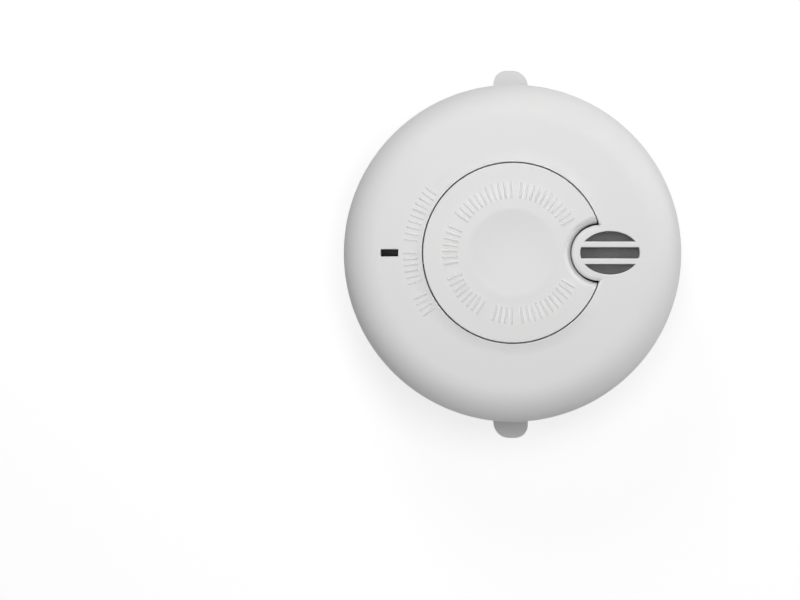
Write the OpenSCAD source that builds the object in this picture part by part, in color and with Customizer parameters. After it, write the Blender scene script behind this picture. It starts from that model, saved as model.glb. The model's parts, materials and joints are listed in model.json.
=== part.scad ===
// Ceiling smoke alarm: a twist-on head with an optical smoke chamber, a piezo horn and a large
// press-to-test button, on a flat mounting plate with two finger ears.
// Frame: Z = 0 is the face that lies on the ceiling, +Z points out of it through the button,
// +X runs from the axis towards the horn grille and +Y towards the upper ear. Millimetres.

/* [Cover] */
// Outer diameter of the cover at its rim
cover_d = 115; // [112:1:122]
// Height from the mounting face to the top of the crown
total_h = 50; // [49:0.5:56]
// Wall of the cover
cover_wall = 2.2; // [1.6:0.1:2.8]
// Radius of the gently domed face
crown_r = 600; // [400:10:1200]
// Radius of the shoulder between face and side
shoulder_r = 13; // [11:0.5:15]
// Inward lean of the side, in degrees
side_draft = 2.5; // [1:0.25:4]
// How far the rim hangs below the flange of the rear case
skirt_drop = 2.4; // [1:0.2:3]

/* [Test button] */
// Diameter of the button
button_d = 59.5; // [58:0.5:61]
// Thickness of the button's face at its thinnest
button_t = 1.8; // [1.4:0.1:2.4]
// Gap between the button and the cover
button_gap = 0.5; // [0.3:0.05:0.7]
// Stroke of the button
button_travel = 0.8; // [0.4:0.1:1.2]
// Wall of the button's skirt
skirt_wall = 1.8; // [1.4:0.1:2.4]
// Radius of the button's upper edge
button_edge = 0.5; // [0.2:0.1:0.8]
// Diameter of the dished finger rest
dish_d = 29; // [24:0.5:32]
// Depth of the dished finger rest
dish_depth = 1.4; // [0.4:0.1:1.6]
// Radius of the notch that leaves room for the grille
notch_r = 10; // [9.6:0.05:10.6]
// Width of the cover's tongue beside the grille, inside the notch
tongue_margin = 2.75; // [2.4:0.05:3.1]
// Width of the rolled edge along the notch
notch_roll = 3.4; // [1.6:0.1:3.6]
// Depth of the rolled edge along the notch
notch_fall = 4.4; // [2:0.1:5]
// Diameter of the post that works the test switch
post_d = 6; // [4:0.5:8]
// Wall of the cover's guide round the button
guide_wall = 2; // [1.4:0.1:2.4]
// Depth of the guide below the cover's wall
guide_h = 6; // [5:0.25:7]
// Height of the catch at the foot of each button leg
catch_h = 1.5; // [1:0.1:2]
// How far each catch reaches under the guide
catch_reach = 1.2; // [0.8:0.1:1.6]

/* [Grille and horn] */
// Distance of the horn from the axis
horn_x = 32.2; // [32:0.1:33]
// Width of the grille opening
grille_w = 19.8; // [18:0.1:20.2]
// Height of the grille opening
grille_h = 14.4; // [12:0.1:15]
// Height of the middle slot
grille_slot = 3.7; // [3:0.1:3.9]
// Width of the two grille bars
grille_bar = 1.9; // [1.4:0.1:2.4]
// Depth of the well behind the grille, from the face to the screen
well_depth = 5; // [4:0.1:6]
// Thickness of the woven screen
screen_t = 0.4; // [0.3:0.05:0.6]
// Step that the screen is glued against
screen_step = 0.8; // [0.6:0.1:1]
// Wall of the sound duct
duct_wall = 1.1; // [0.9:0.1:1.2]
// Thickness of the foam gasket between the duct and the horn
gasket_t = 2; // [1.5:0.1:2.5]
// Diameter of the horn
horn_d = 30; // [28:0.5:31]
// Wall of the horn cup
horn_wall = 1.4; // [1:0.1:1.8]
// Height of the horn cup above the board
horn_h = 8.4; // [7.4:0.2:9]
// Height of the disc's seat above the board
disc_seat_h = 4; // [3.2:0.2:5]
// Width of the disc's seat
disc_seat_w = 2; // [1.6:0.1:2.4]
// Thickness of the disc's seat
disc_seat_t = 1.6; // [1.2:0.1:2]
// Thickness of the brass disc
disc_t = 0.3; // [0.2:0.05:0.4]
// Diameter of the ceramic layer
ceramic_d = 19; // [16:0.5:20]
// Thickness of the ceramic layer
ceramic_t = 0.2; // [0.15:0.05:0.3]
// Thickness of the horn cap
horn_cap_t = 1.6; // [1.2:0.1:2]
// Diameter of the sound port in the horn cap
port_d = 8; // [5:0.5:10]

/* [Status light] */
// Distance of the light window from the axis
light_x = 41; // [39:0.5:42]
// Length of the light window
light_l = 5.8; // [4:0.1:6.4]
// Width of the light window
light_w = 2.4; // [2:0.1:3]
// How far the light pipe ends below the face
light_recess = 0.5; // [0.2:0.1:0.8]
// Wall of the sleeve that holds the light pipe
sleeve_wall = 1.2; // [0.9:0.1:1.5]
// Depth of the sleeve below the cover's wall
sleeve_h = 3.4; // [2:0.2:5]
// Diameter of the light-emitting diode
led_d = 3; // [2:0.1:3.4]
// Height of the light-emitting diode
led_h = 4.4; // [3:0.1:5]

/* [Rear case] */
// How far the drum with the smoke inlets stands in from the cover's rim
drum_inset = 5.5; // [5:0.25:6]
// Wall of the drum
drum_wall = 2; // [1.6:0.1:2.4]
// Thickness of the case floor
floor_t = 2; // [1.6:0.1:2.4]
// Number of smoke inlets
vent_count = 48; // [36:4:56]
// Width of a smoke inlet
vent_w = 3.4; // [2.4:0.1:3.6]
// Height of a smoke inlet
vent_h = 9; // [6:0.5:9.5]
// Sill below the smoke inlets
vent_sill = 2; // [1:0.25:2.5]
// Thickness of the flange that closes the cover
flange_t = 2; // [1.6:0.1:2.4]
// Free height between the flange and the circuit board
board_lift = 1.6; // [1:0.1:2]
// Thickness of the circuit board
board_t = 1.6; // [1:0.2:2]
// How far the case screws stand in from the drum's outside
screw_inset = 7.5; // [7:0.25:8.5]
// Outer diameter of the screw towers
tower_d = 8; // [7.6:0.1:8.4]
// Diameter of a case screw
screw_d = 2.9; // [2.5:0.1:3]
// Diameter of a case screw's head
screw_head_d = 5.6; // [5:0.1:5.8]
// Height of a case screw's head
screw_head_h = 2.2; // [1.6:0.1:2.6]
// Depth of a screw's seat inside its tower, from the case floor
screw_seat_h = 6.6; // [5:0.2:8]
// Length of a screw above the circuit board
screw_grip = 9; // [6:0.5:12]

/* [Mounting plate] */
// Thickness of the mounting plate
plate_t = 2.4; // [2:0.1:2.8]
// Height of the rim above the mounting face
plate_rim_h = 5.1; // [4.8:0.1:6]
// Width of the rim
plate_rim_w = 2; // [1.4:0.1:2.6]
// Running gap between the plate's rim and the case
twist_gap = 0.3; // [0.2:0.05:0.5]
// Width of a finger ear
ear_w = 12; // [8:0.5:16]
// Distance of an ear's tip from the axis
ear_reach = 64.2; // [62:0.2:68]
// Thickness of a finger ear
ear_t = 2; // [1.4:0.1:2.4]
// Radius of an ear's steep corner
ear_steep_r = 4.5; // [3:0.1:5]
// Radius of an ear's gentle corner
ear_gentle_r = 5.5; // [5:0.1:6]
// Distance between the two fixing slots
fixing_spacing = 60; // [58:0.5:62]
// Width of a fixing slot
fixing_w = 4.6; // [4:0.1:5.5]
// Length of a fixing slot
fixing_l = 9; // [7:0.5:11]
// Depth of the pockets in the back
pocket_depth = 1; // [0.6:0.1:1.2]
// Turn that locks the head, in degrees
twist_angle = 15; // [12:1:18]
// How far the outer face of a bayonet hook stands in from the drum's outside
hook_inset = 7; // [6:0.25:7.5]
// Thickness of a bayonet hook's stem
hook_stem = 2; // [1.6:0.1:2.4]
// How far a hook's lip reaches inwards from its stem
hook_lip = 3; // [2:0.1:3.2]
// Thickness of a hook's lip
hook_lip_t = 1.8; // [1.2:0.1:2]
// Half width of a bayonet hook, in degrees
hook_half = 4.5; // [3:0.5:5]

/* [Smoke chamber] */
// Distance of the chamber from the axis, away from the horn
chamber_x = 12; // [11:0.5:13]
// Diameter of the chamber
chamber_d = 46; // [45:0.5:47]
// Thickness of the chamber's two end discs
chamber_disc_t = 2; // [1.6:0.1:2.4]
// Free height between the case floor and the chamber
chamber_lift = 2.3; // [1.8:0.1:2.8]
// Number of places for light-trap vanes
vane_count = 18; // [14:1:18]
// Thickness of a vane
vane_t = 0.9; // [0.7:0.1:1.1]
// Length of each leaf of a vane
vane_l = 4; // [3:0.1:4.2]
// Wall of the insect screen
mesh_wall = 0.4; // [0.3:0.05:0.5]
// Number of openings round the insect screen
mesh_columns = 24; // [20:2:32]
// Number of openings up the insect screen
mesh_rows = 3; // [2:1:4]
// Diameter of the emitter and the sensor
optic_d = 5; // [4:0.1:5.2]
// Angle of the emitter and the sensor from the chamber's -X axis, in degrees
optic_angle = 62; // [56:1:66]

/* [Power] */
// Diameter of the battery
cell_d = 17; // [16:0.1:17.4]
// Length of the battery
cell_l = 34; // [31:0.5:35]
// Distance of the battery from the axis
cell_x = 30; // [29:0.5:30.5]
// Diameter of the power pin
pin_d = 4; // [3.4:0.1:4.6]
// Stroke of the power pin over the locking turn
pin_travel = 1.8; // [1:0.1:1.9]
// How far the power pin stands in from the inner edge of the bayonet hooks
pin_inset = 6; // [5.5:0.25:7]
// Angle of the power pin from +X, in degrees
pin_angle = 83; // [80:1:86]
// Reach of the locked pin below the case floor
pin_reach = 0.7; // [0.5:0.1:0.8]

/* [Fits] */
// Radial clearance of a sliding fit
slide_gap = 0.05; // [0.03:0.01:0.08]
// Clearance between pieces that are only put together
assembly_gap = 0.15; // [0.1:0.05:0.25]
// Clearance round a bayonet hook
hook_gap = 0.4; // [0.3:0.05:0.5]
// Free play between a pushing face and what it pushes
press_gap = 0.1; // [0.05:0.05:0.2]

/* [Hidden] */
$fn = 96;
// Overlap that lets one cut or join run cleanly through another
eps = 0.02;
// Overlong reach of a cut that leaves the piece
past = 5;

// Colours of the finishes
white = "#e4e4e2";
black = "#1c1c1e";
charcoal = "#4a4a4c";
green = "#1f5a36";
steel = "#b4b6ba";
brass = "#c9a24a";
clear_blue = "#8fa0b8";
foam = "#5a5a58";

// Heights of the main levels above the mounting face
cell_room = 0.8;
case_z = plate_rim_h + twist_gap;
floor_z = case_z + floor_t;
board_z = floor_z + cell_d + 2 * cell_room;
board_top = board_z + board_t;
flange_top = board_z - board_lift;
flange_z = flange_top - flange_t;
rim_z = flange_z - skirt_drop;

// The cover's outline: a crown arc, a shoulder arc tangent to it, and a leaning side
cover_r = cover_d / 2;
drum_r = cover_r - drum_inset;
lean = tan(side_draft);
crown_cz = total_h - crown_r;
shoulder_a = cover_r - shoulder_r / cos(side_draft) + rim_z * lean;
quad_a = 1 + lean * lean;
quad_b = -2 * (crown_cz + shoulder_a * lean);
quad_c = shoulder_a * shoulder_a + crown_cz * crown_cz - pow(crown_r - shoulder_r, 2);
shoulder_cz = (-quad_b + sqrt(quad_b * quad_b - 4 * quad_a * quad_c)) / (2 * quad_a);
shoulder_cx = shoulder_a - shoulder_cz * lean;
crown_end = atan2(shoulder_cz - crown_cz, shoulder_cx);
crown_steps = 6;
shoulder_steps = 16;

// Points along an arc
function arc(cx, cz, r, from, to, steps) =
    [for (i = [0:steps]) let (a = from + (to - from) * i / steps) [cx + r * cos(a), cz + r * sin(a)]];
// Radius of the cover's side at a height, drawn in by an inset
function side_r(z, inset) = cover_r - (z - rim_z) * lean - inset / cos(side_draft);
// Height of the domed face at a distance from the axis, drawn in by an inset
function face_z(r, inset) = crown_cz + sqrt(pow(crown_r - inset, 2) - r * r);
// Outline of the cover from the axis out and down to the rim, drawn in by an inset
function cover_outline(inset) = concat(
    arc(0, crown_cz, crown_r - inset, 90, crown_end, crown_steps),
    arc(shoulder_cx, shoulder_cz, shoulder_r - inset, crown_end, side_draft, shoulder_steps),
    [[side_r(rim_z, inset), rim_z]]);
function reversed(list) = [for (i = [len(list) - 1:-1:0]) list[i]];
// Outline of an ellipse, from its half axes
ellipse_steps = 60;
function ellipse(a, b) =
    [for (i = [0:ellipse_steps - 1]) let (t = 360 * i / ellipse_steps) [a * cos(t), b * sin(t)]];

// Button and notch
button_r = button_d / 2;
hole_r = button_r + button_gap;
tongue_r = notch_r - button_gap;
notch_x = horn_x - grille_w / 2 - tongue_margin + tongue_r;
dish_r = dish_d / 2;
dish_curve = (dish_r * dish_r + dish_depth * dish_depth) / (2 * dish_depth);
dish_z = face_z(dish_r, 0) - dish_depth;
dish_steps = 8;
edge_steps = 3;
roll_steps = 8;
button_under = dish_z - button_t;
guide_foot = face_z(hole_r, cover_wall) - guide_h;
skirt_lift = 1.6;
skirt_foot = guide_foot + skirt_lift;
leg_foot = guide_foot - press_gap - catch_h;
leg_inset = 0.2;
leg_half = 7;
leg_angles = [60, 180, 300];

// Test switch and the button's spring
switch_side = 6;
switch_h = 3.5;
plunger_d = 3.5;
plunger_h = 7.6;
plunger_lift = 1.8;
plunger_foot = board_top + plunger_lift;
plunger_top = plunger_foot + plunger_h;
spring_wire = 0.8;
spring_d = 11.2;
spring_turns = 7;
seat_gap = 0.05;

// Grille, duct and horn
grille_a = grille_w / 2;
grille_b = grille_h / 2;
screen_z = face_z(horn_x, 0) - well_depth;
bar_under = face_z(horn_x, cover_wall);
duct_out = screen_step + duct_wall;
horn_top = board_top + horn_h;
horn_cap_top = horn_top + horn_cap_t;
duct_foot = horn_cap_top + gasket_t;
horn_r = horn_d / 2;
horn_clear = 1;
disc_z = board_top + disc_seat_h;
disc_r = horn_r - horn_wall - slide_gap;
disc_seat_in = disc_r - disc_seat_w;
spigot_w = 1.3;
contact_d = 1;
contact_foot_d = 2.4;
contact_foot_t = 0.5;

// Status light
pipe_gap = 0.1;
pipe_flange_w = 1;
pipe_flange_t = 1.2;
pipe_lift = 0.3;
led_base_w = 0.5;
led_base_t = 1;
sleeve_foot = face_z(light_x, cover_wall) - sleeve_h;

// Case: smoke inlets, towers and screws
vent_z = floor_z + vent_sill;
vent_over = 0.5;
tower_angles = [45, 135, 225, 315];
screw_gap = 0.3;
screw_room = 1;
screw_circle_r = drum_r - screw_inset;
screw_seat = floor_z + screw_seat_h;
screw_top = board_top + screw_grip;
cross_w = 0.9;
cross_l = 3.2;
cross_depth = 1.3;
board_r = screw_circle_r + tower_d / 2;

// Mounting plate: pockets in its back and bayonet hooks
pocket_rib = 5;
inner_pocket_in = 9;
inner_pocket_out = 21;
inner_pockets = 8;
outer_pocket_in = 39;
outer_pockets = 16;
pocket_margin = 1;
hook_rise = 0.2;
hook_r = drum_r - hook_inset;
hook_lip_z = floor_z + hook_rise;
hook_top = hook_lip_z + hook_lip_t;
hook_in = hook_r - hook_stem - hook_lip;
hook_angles = [0, 90, 180, 270];
hook_play = asin(hook_gap / hook_r);

// Smoke chamber
chamber_r = chamber_d / 2;
chamber_roof = board_z - chamber_disc_t;
chamber_foot = floor_z + chamber_lift;
chamber_sill = chamber_foot + chamber_disc_t;
chamber_mid = (chamber_roof + chamber_sill) / 2;
seat_r = 15;
seat_w = 2;
mesh_inset = 0.6;
mesh_r = chamber_r - mesh_inset;
mesh_share = 0.62;
vane_lean = 40;
vane_gap = 0.4;
vane_r = mesh_r - mesh_wall - vane_gap - vane_l * cos(vane_lean);
vane_clear = 24;
optic_r = optic_d / 2;
optic_dome = 13.4;
optic_end = 19;
optic_rim = 0.4;
optic_rim_t = 1;
optic_gap = 0.1;
optic_wall = 1.5;
aperture_d = 3.2;
lead_d = 0.6;
lead_gap = 0.2;
lead_reach = 0.6;
lead_stub = 0.8;
lead_x = optic_end + optic_rim_t + lead_reach;
lead_pitch = 2.54;
lead_top = board_top + lead_stub;
peg_d = 2.4;
peg_y = 18;
baffle_t = 1.2;
baffle_l = 5;
baffle_x = 9;
groove_w = 1;
groove_depth = 0.6;
groove_radii = [5, 8, 11];

// Battery
cell_r = cell_d / 2;
cell_z = floor_z + cell_room + cell_r;
cell_edge = 0.8;
cell_cap_d = 6;
cell_cap_h = 1;
saddle_y = 10;
saddle_t = 3;
saddle_w = 13;
saddle_gap = 0.1;
saddle_top = cell_z - cell_r / 2;
tab_w = 6;
tab_t = 0.3;
tab_stub = 0.6;
tab_top = board_top + tab_stub;

// Power pin, its switch, spring and ramp
pin_r = hook_in - pin_inset;
pin_x = pin_r * cos(pin_angle);
pin_y = pin_r * sin(pin_angle);
pin_rad = pin_d / 2;
pin_foot = case_z - pin_reach;
pin_boss_wall = 2.2;
pin_boss_h = 1;
pin_boss_top = floor_z + pin_boss_h;
collar_w = 1.5;
collar_t = 1.2;
collar_z = pin_boss_top + pin_travel + press_gap;
pin_switch_side = 8;
pin_switch_h = 6;
pin_switch_foot = board_z - pin_switch_h;
pin_bury = 4.4;
pin_top = pin_switch_foot + pin_bury;
pin_spring_wire = 0.5;
pin_spring_room = 0.7;
pin_spring_d = pin_d + 2 * pin_spring_room;
pin_spring_turns = 5;
ramp_run = pin_r * twist_angle * PI / 180;
ramp_slope = pin_travel / ramp_run;
ramp_side = 0.5;
ramp_w = pin_d + 2 * ramp_side;
ramp_over = 1.6;
ramp_clear = slide_gap + pin_rad * (sqrt(1 + ramp_slope * ramp_slope) - 1);
ramp_top = pin_foot - ramp_clear;

// Places of the parts on the board that nothing else lines up with
chip_x = -20;
passive_x = -30;
passive_y = 10;
capacitor_x = 8;
capacitor_y = -24;
coil_x = 8;
coil_y = 22;

// Shared shapes

module ring(outer, inner, z0, z1) {
    rotate_extrude() translate([inner, z0]) square([outer - inner, z1 - z0]);
}

// Part of a flat ring between two angles
module sector(outer, inner, z0, z1, from, to) {
    rotate([0, 0, from]) rotate_extrude(angle = to - from)
        translate([inner, z0]) square([outer - inner, z1 - z0]);
}

// A block that is centred in X and Y
module block(length, width, z0, z1) {
    translate([-length / 2, -width / 2, z0]) cube([length, width, z1 - z0]);
}

// A round bar between two heights
module bar(diameter, z0, z1) {
    translate([0, 0, z0]) cylinder(d = diameter, h = z1 - z0);
}

// An oval bar on the horn's axis, grown outwards from the grille's opening
module oval(grow, z0, z1) {
    translate([horn_x, 0, z0]) linear_extrude(z1 - z0) polygon(ellipse(grille_a + grow, grille_b + grow));
}

// A slot with round ends along X
module slot(length, width, z0, z1) {
    run = (length - width) / 2;
    for (s = [-1, 1]) translate([s * run, 0, 0]) bar(width, z0, z1);
    block(2 * run, width, z0, z1);
}

// The space inside the cover's outline, drawn in by an inset
module cover_envelope(inset) {
    rotate_extrude() polygon(concat([[0, rim_z]], cover_outline(inset)));
}

// A coil spring swept as one tube between two heights
module coil(mean_d, wire, turns, z0, z1) {
    sides = 6;
    rings = 8;
    steps = turns * rings;
    low = z0 + wire / 2;
    rise = z1 - z0 - wire;
    line = [for (i = [0:steps]) let (a = 360 * i / rings)
        [mean_d / 2 * cos(a), mean_d / 2 * sin(a), low + rise * i / steps]];
    points = [for (i = [0:steps], k = [0:sides - 1])
        let (a = 360 * i / rings, b = 360 * k / sides, r = mean_d / 2 + wire / 2 * cos(b))
        [r * cos(a), r * sin(a), line[i][2] + wire / 2 * sin(b)]];
    skin = [for (i = [0:steps - 1], k = [0:sides - 1], half = [0, 1])
        let (n = (k + 1) % sides, p = i * sides, q = p + sides)
        half == 0 ? [p + k, q + k, q + n] : [p + k, q + n, p + n]];
    first = [for (k = [1:sides - 2]) [0, k, k + 1]];
    last = [for (k = [1:sides - 2]) let (p = steps * sides) [p, p + k + 1, p + k]];
    echo(least_gap = min([for (i = [0:steps - rings]) norm(line[i + rings] - line[i])]) - wire);
    polyhedron(points, concat(skin, first, last));
}

module at_towers() {
    for (a = tower_angles) rotate([0, 0, a]) translate([screw_circle_r, 0, 0]) children();
}

module at_chamber() {
    translate([-chamber_x, 0, 0]) children();
}

// Places a child on the radial axis of the emitter (side 1) or the sensor (side -1)
module at_optic(side) {
    at_chamber() rotate([0, 0, 180 - side * optic_angle]) children();
}

module at_pin() {
    translate([pin_x, pin_y, 0]) children();
}

module at_horn() {
    translate([horn_x, 0, 0]) children();
}

module at_light() {
    translate([-light_x, 0, 0]) children();
}

// Mounting plate

// Ring of shallow pockets in the back of the plate
module back_pockets(outer, inner, count) {
    step = 360 / count;
    for (i = [0:count - 1])
        sector(outer, inner, -past, pocket_depth, i * step + pocket_rib / 2, (i + 1) * step - pocket_rib / 2);
}

// One finger ear with a steep and a gentle corner
module ear() {
    half = ear_w / 2;
    root = drum_r - plate_rim_w - half;
    linear_extrude(ear_t) {
        translate([ear_steep_r - half, ear_reach - ear_steep_r]) circle(r = ear_steep_r);
        translate([half - ear_gentle_r, ear_reach - ear_gentle_r]) circle(r = ear_gentle_r);
        polygon([
            [-half, root], [-half, ear_reach - ear_steep_r], [ear_steep_r - half, ear_reach - ear_steep_r],
            [ear_steep_r - half, ear_reach], [half - ear_gentle_r, ear_reach],
            [half - ear_gentle_r, ear_reach - ear_gentle_r], [half, ear_reach - ear_gentle_r], [half, root]]);
    }
}

module ears() {
    for (turn = [0, 180]) rotate([0, 0, turn]) ear();
}

module bayonet_hooks() {
    for (a = hook_angles) {
        sector(hook_r, hook_r - hook_stem, plate_t - eps, hook_top, a - hook_half, a + hook_half);
        sector(hook_r, hook_in, hook_lip_z, hook_top, a - hook_half, a + hook_half);
    }
}

// Wedge that lifts the power pin as the head turns home
module pin_ramp() {
    half = ramp_run / 2 + ramp_over;
    base = plate_t / 2;
    rotate([0, 0, pin_angle + twist_angle / 2]) translate([pin_r - ramp_w / 2, 0, 0])
        rotate([90, 0, 90]) linear_extrude(ramp_w) polygon([
            [-half, base],
            [-half, ramp_top + ramp_over * ramp_slope],
            [half, ramp_top - (ramp_run + ramp_over) * ramp_slope],
            [half, base]]);
}

module mounting_plate() {
    rim_in = drum_r - plate_rim_w;
    color(white) difference() {
        union() {
            bar(2 * drum_r, 0, plate_t);
            ring(drum_r, rim_in, 0, plate_rim_h);
            ears();
            bayonet_hooks();
            pin_ramp();
        }
        for (s = [-1, 1]) translate([s * fixing_spacing / 2, 0, 0])
            slot(fixing_l, fixing_w, -past, plate_t + past);
        back_pockets(inner_pocket_out, inner_pocket_in, inner_pockets);
        back_pockets(rim_in - pocket_margin, outer_pocket_in, outer_pockets);
    }
}

// Rear case

module vents() {
    for (i = [0:vent_count - 1])
        rotate([0, 0, (i + 0.5) * 360 / vent_count])
            translate([drum_r - drum_wall - vent_over, -vent_w / 2, vent_z])
                cube([drum_wall + 2 * vent_over, vent_w, vent_h]);
}

// Entry and locking run of one bayonet hook through the case floor
module hook_slot(a) {
    out = hook_r + hook_gap;
    span = hook_half + hook_play;
    z0 = case_z - past;
    z1 = floor_z + eps;
    sector(out, hook_r - hook_stem - hook_gap, z0, z1, a - twist_angle - span, a + span);
    sector(out, hook_in - hook_gap, z0, z1, a - twist_angle - span, a - twist_angle + span);
}

module battery_saddles() {
    difference() {
        for (s = [-1, 1]) translate([cell_x, s * saddle_y, 0])
            block(saddle_w, saddle_t, floor_z - eps, saddle_top);
        translate([cell_x, 0, cell_z]) rotate([90, 0, 0])
            cylinder(r = cell_r + saddle_gap, h = cell_l, center = true);
    }
}

module rear_case() {
    flange_r = side_r(flange_top, cover_wall) - assembly_gap;
    color(white) difference() {
        union() {
            bar(2 * drum_r, case_z, floor_z);
            ring(drum_r, drum_r - drum_wall, case_z, flange_top);
            ring(flange_r, drum_r - drum_wall, flange_z, flange_top);
            at_towers() bar(tower_d, floor_z - eps, board_z);
            at_chamber() ring(seat_r, seat_r - seat_w, floor_z - eps, chamber_foot);
            at_pin() bar(pin_d + 2 * pin_boss_wall, floor_z - eps, pin_boss_top);
            battery_saddles();
        }
        vents();
        for (a = hook_angles) hook_slot(a);
        at_towers() bar(screw_d + 2 * screw_gap, case_z, board_z + past);
        at_towers() bar(screw_head_d + 2 * screw_gap, case_z - past, screw_seat);
        at_pin() bar(pin_d + 2 * slide_gap, case_z - past, board_z);
    }
}

module case_screw() {
    head_z = screw_seat - screw_head_h;
    tip = screw_d / 2;
    difference() {
        union() {
            bar(screw_head_d, head_z, screw_seat);
            bar(screw_d, screw_seat - eps, screw_top - tip);
            translate([0, 0, screw_top - tip]) cylinder(d1 = screw_d, d2 = tip, h = tip);
        }
        for (turn = [0, 90]) rotate([0, 0, turn])
            block(cross_l, cross_w, head_z - past, head_z + cross_depth);
    }
}

module case_screws() {
    color(steel) at_towers() case_screw();
}

// Front cover

// The cover's wall as one turned shell
module cover_shell() {
    rotate_extrude() polygon(concat(cover_outline(0), reversed(cover_outline(cover_wall))));
}

// Guide round the button, cut away where it would reach down into the horn
module button_guide() {
    difference() {
        ring(hole_r + guide_wall, hole_r, guide_foot, total_h);
        at_horn() bar(horn_d + 2 * horn_clear, rim_z, duct_foot);
    }
}

// What hangs from the inside of the cover's face
module cover_inside() {
    button_guide();
    oval(duct_out, duct_foot, total_h);
    at_towers() bar(tower_d, board_top, total_h);
    at_light() block(light_l + 2 * sleeve_wall, light_w + 2 * sleeve_wall, sleeve_foot, total_h);
}

module button_opening() {
    difference() {
        bar(2 * hole_r, guide_foot - past, total_h + past);
        translate([notch_x, 0, 0]) bar(2 * tongue_r, rim_z, total_h + 2 * past);
    }
}

// The three slots of the grille, through the cover's wall
module grille_slots() {
    outer_y = grille_slot / 2 + grille_bar;
    rows = [[-grille_slot / 2, grille_slot], [outer_y, grille_b], [-outer_y - grille_b, grille_b]];
    translate([horn_x, 0, bar_under - eps]) linear_extrude(cover_wall + past) for (row = rows)
        intersection() {
            polygon(ellipse(grille_a, grille_b));
            translate([-grille_a, row[0]]) square([grille_w, row[1]]);
        }
}

module front_cover() {
    color(white) difference() {
        union() {
            cover_shell();
            intersection() {
                cover_envelope(cover_wall / 2);
                cover_inside();
            }
        }
        button_opening();
        grille_slots();
        oval(0, screen_z - eps, bar_under);
        oval(screen_step, duct_foot - past, screen_z);
        at_light() block(light_l, light_w, sleeve_foot - past, total_h + past);
        at_towers() bar(screw_d + 2 * slide_gap, board_top - past, screw_top + screw_room);
    }
}

module light_pipe() {
    length = light_l - 2 * pipe_gap;
    width = light_w - 2 * pipe_gap;
    color(black) at_light() {
        block(length, width, board_top + led_h + pipe_lift, face_z(light_x, 0) - light_recess);
        block(length + 2 * pipe_flange_w, width + 2 * pipe_flange_w,
            sleeve_foot - pipe_flange_t, sleeve_foot);
    }
}

module sound_screen() {
    color(charcoal) oval(screen_step - pipe_gap, screen_z - screen_t, screen_z);
}

// Test button

// Half section of the button: dished face, rounded edge, skirt and flat underside
function button_outline() = concat(
    [for (i = [0:dish_steps]) let (r = dish_r * i / dish_steps)
        [r, dish_z + dish_curve - sqrt(dish_curve * dish_curve - r * r)]],
    [for (i = [1:crown_steps - 1]) let (r = dish_r + (button_r - button_edge - dish_r) * i / crown_steps)
        [r, face_z(r, 0)]],
    arc(button_r - button_edge, face_z(button_r - button_edge, 0) - button_edge, button_edge,
        90, 0, edge_steps),
    [[button_r, skirt_foot], [button_r - skirt_wall, skirt_foot], [button_r - skirt_wall, button_under],
        [0, button_under]]);

// Section of what the rolled edge takes off along the notch, from the notch's axis
function roll_outline() = let (z = face_z(notch_x - notch_r, 0)) concat(
    [[notch_r - past, z - notch_fall]],
    [for (p = arc(1, -1, 1, 180, 90, roll_steps)) [notch_r + notch_roll * p[0], z + notch_fall * p[1]]],
    [[notch_r + notch_roll, z + past], [notch_r - past, z + past]]);

module button_legs() {
    inner = button_r - skirt_wall + leg_inset;
    for (a = leg_angles) {
        sector(button_r - leg_inset, inner, leg_foot, skirt_foot + leg_inset, a - leg_half, a + leg_half);
        sector(hole_r + catch_reach, inner, leg_foot, leg_foot + catch_h, a - leg_half, a + leg_half);
    }
}

module test_button() {
    color(white) difference() {
        union() {
            rotate_extrude() polygon(button_outline());
            intersection() {
                translate([notch_x, 0, 0])
                    ring(notch_r + skirt_wall, notch_r - skirt_wall, skirt_foot, button_under + eps);
                bar(button_d - skirt_wall, skirt_foot - past, total_h);
            }
            bar(post_d, plunger_top + press_gap, button_under + eps);
            button_legs();
        }
        translate([notch_x, 0, 0]) bar(2 * notch_r, leg_foot - past, total_h + past);
        translate([notch_x, 0, 0]) rotate_extrude() polygon(roll_outline());
    }
}

module button_spring() {
    color(steel) coil(spring_d, spring_wire, spring_turns, board_top + seat_gap, button_under - seat_gap);
}

// Circuit board and what is soldered to it

module circuit_board() {
    color(green) difference() {
        bar(2 * board_r, board_z, board_top);
        at_towers() bar(screw_d + 2 * screw_gap, board_z - past, board_top + past);
        for (side = [-1, 1]) {
            at_optic(side) for (s = [-1, 1]) translate([lead_x, s * lead_pitch / 2, 0])
                bar(lead_d + 2 * lead_gap, board_z - past, board_top + past);
            at_chamber() translate([0, side * peg_y, 0])
                bar(peg_d + 2 * assembly_gap, board_z - past, board_top + past);
            translate([cell_x, side * (cell_l + tab_t) / 2, 0])
                block(tab_w + 2 * assembly_gap, tab_t + 2 * assembly_gap, board_z - past, board_top + past);
        }
    }
}

module test_switch_body() {
    color(black) difference() {
        block(switch_side, switch_side, board_top, board_top + switch_h);
        bar(plunger_d + 2 * slide_gap, plunger_foot - button_travel - press_gap, board_top + switch_h + past);
    }
}

module test_switch_plunger() {
    color(charcoal) bar(plunger_d, plunger_foot, plunger_top);
}

module power_switch_body() {
    color(black) at_pin() difference() {
        block(pin_switch_side, pin_switch_side, pin_switch_foot, board_z);
        bar(pin_d + 2 * slide_gap, pin_switch_foot - past, pin_top + press_gap);
    }
}

module power_pin() {
    color(steel) at_pin() {
        bar(pin_d, pin_foot + pin_rad, pin_top);
        translate([0, 0, pin_foot + pin_rad]) sphere(d = pin_d);
        bar(pin_d + 2 * collar_w, collar_z, collar_z + collar_t);
    }
}

module power_spring() {
    color(steel) at_pin() coil(pin_spring_d, pin_spring_wire, pin_spring_turns,
        collar_z + collar_t + seat_gap, pin_switch_foot - seat_gap);
}

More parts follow.
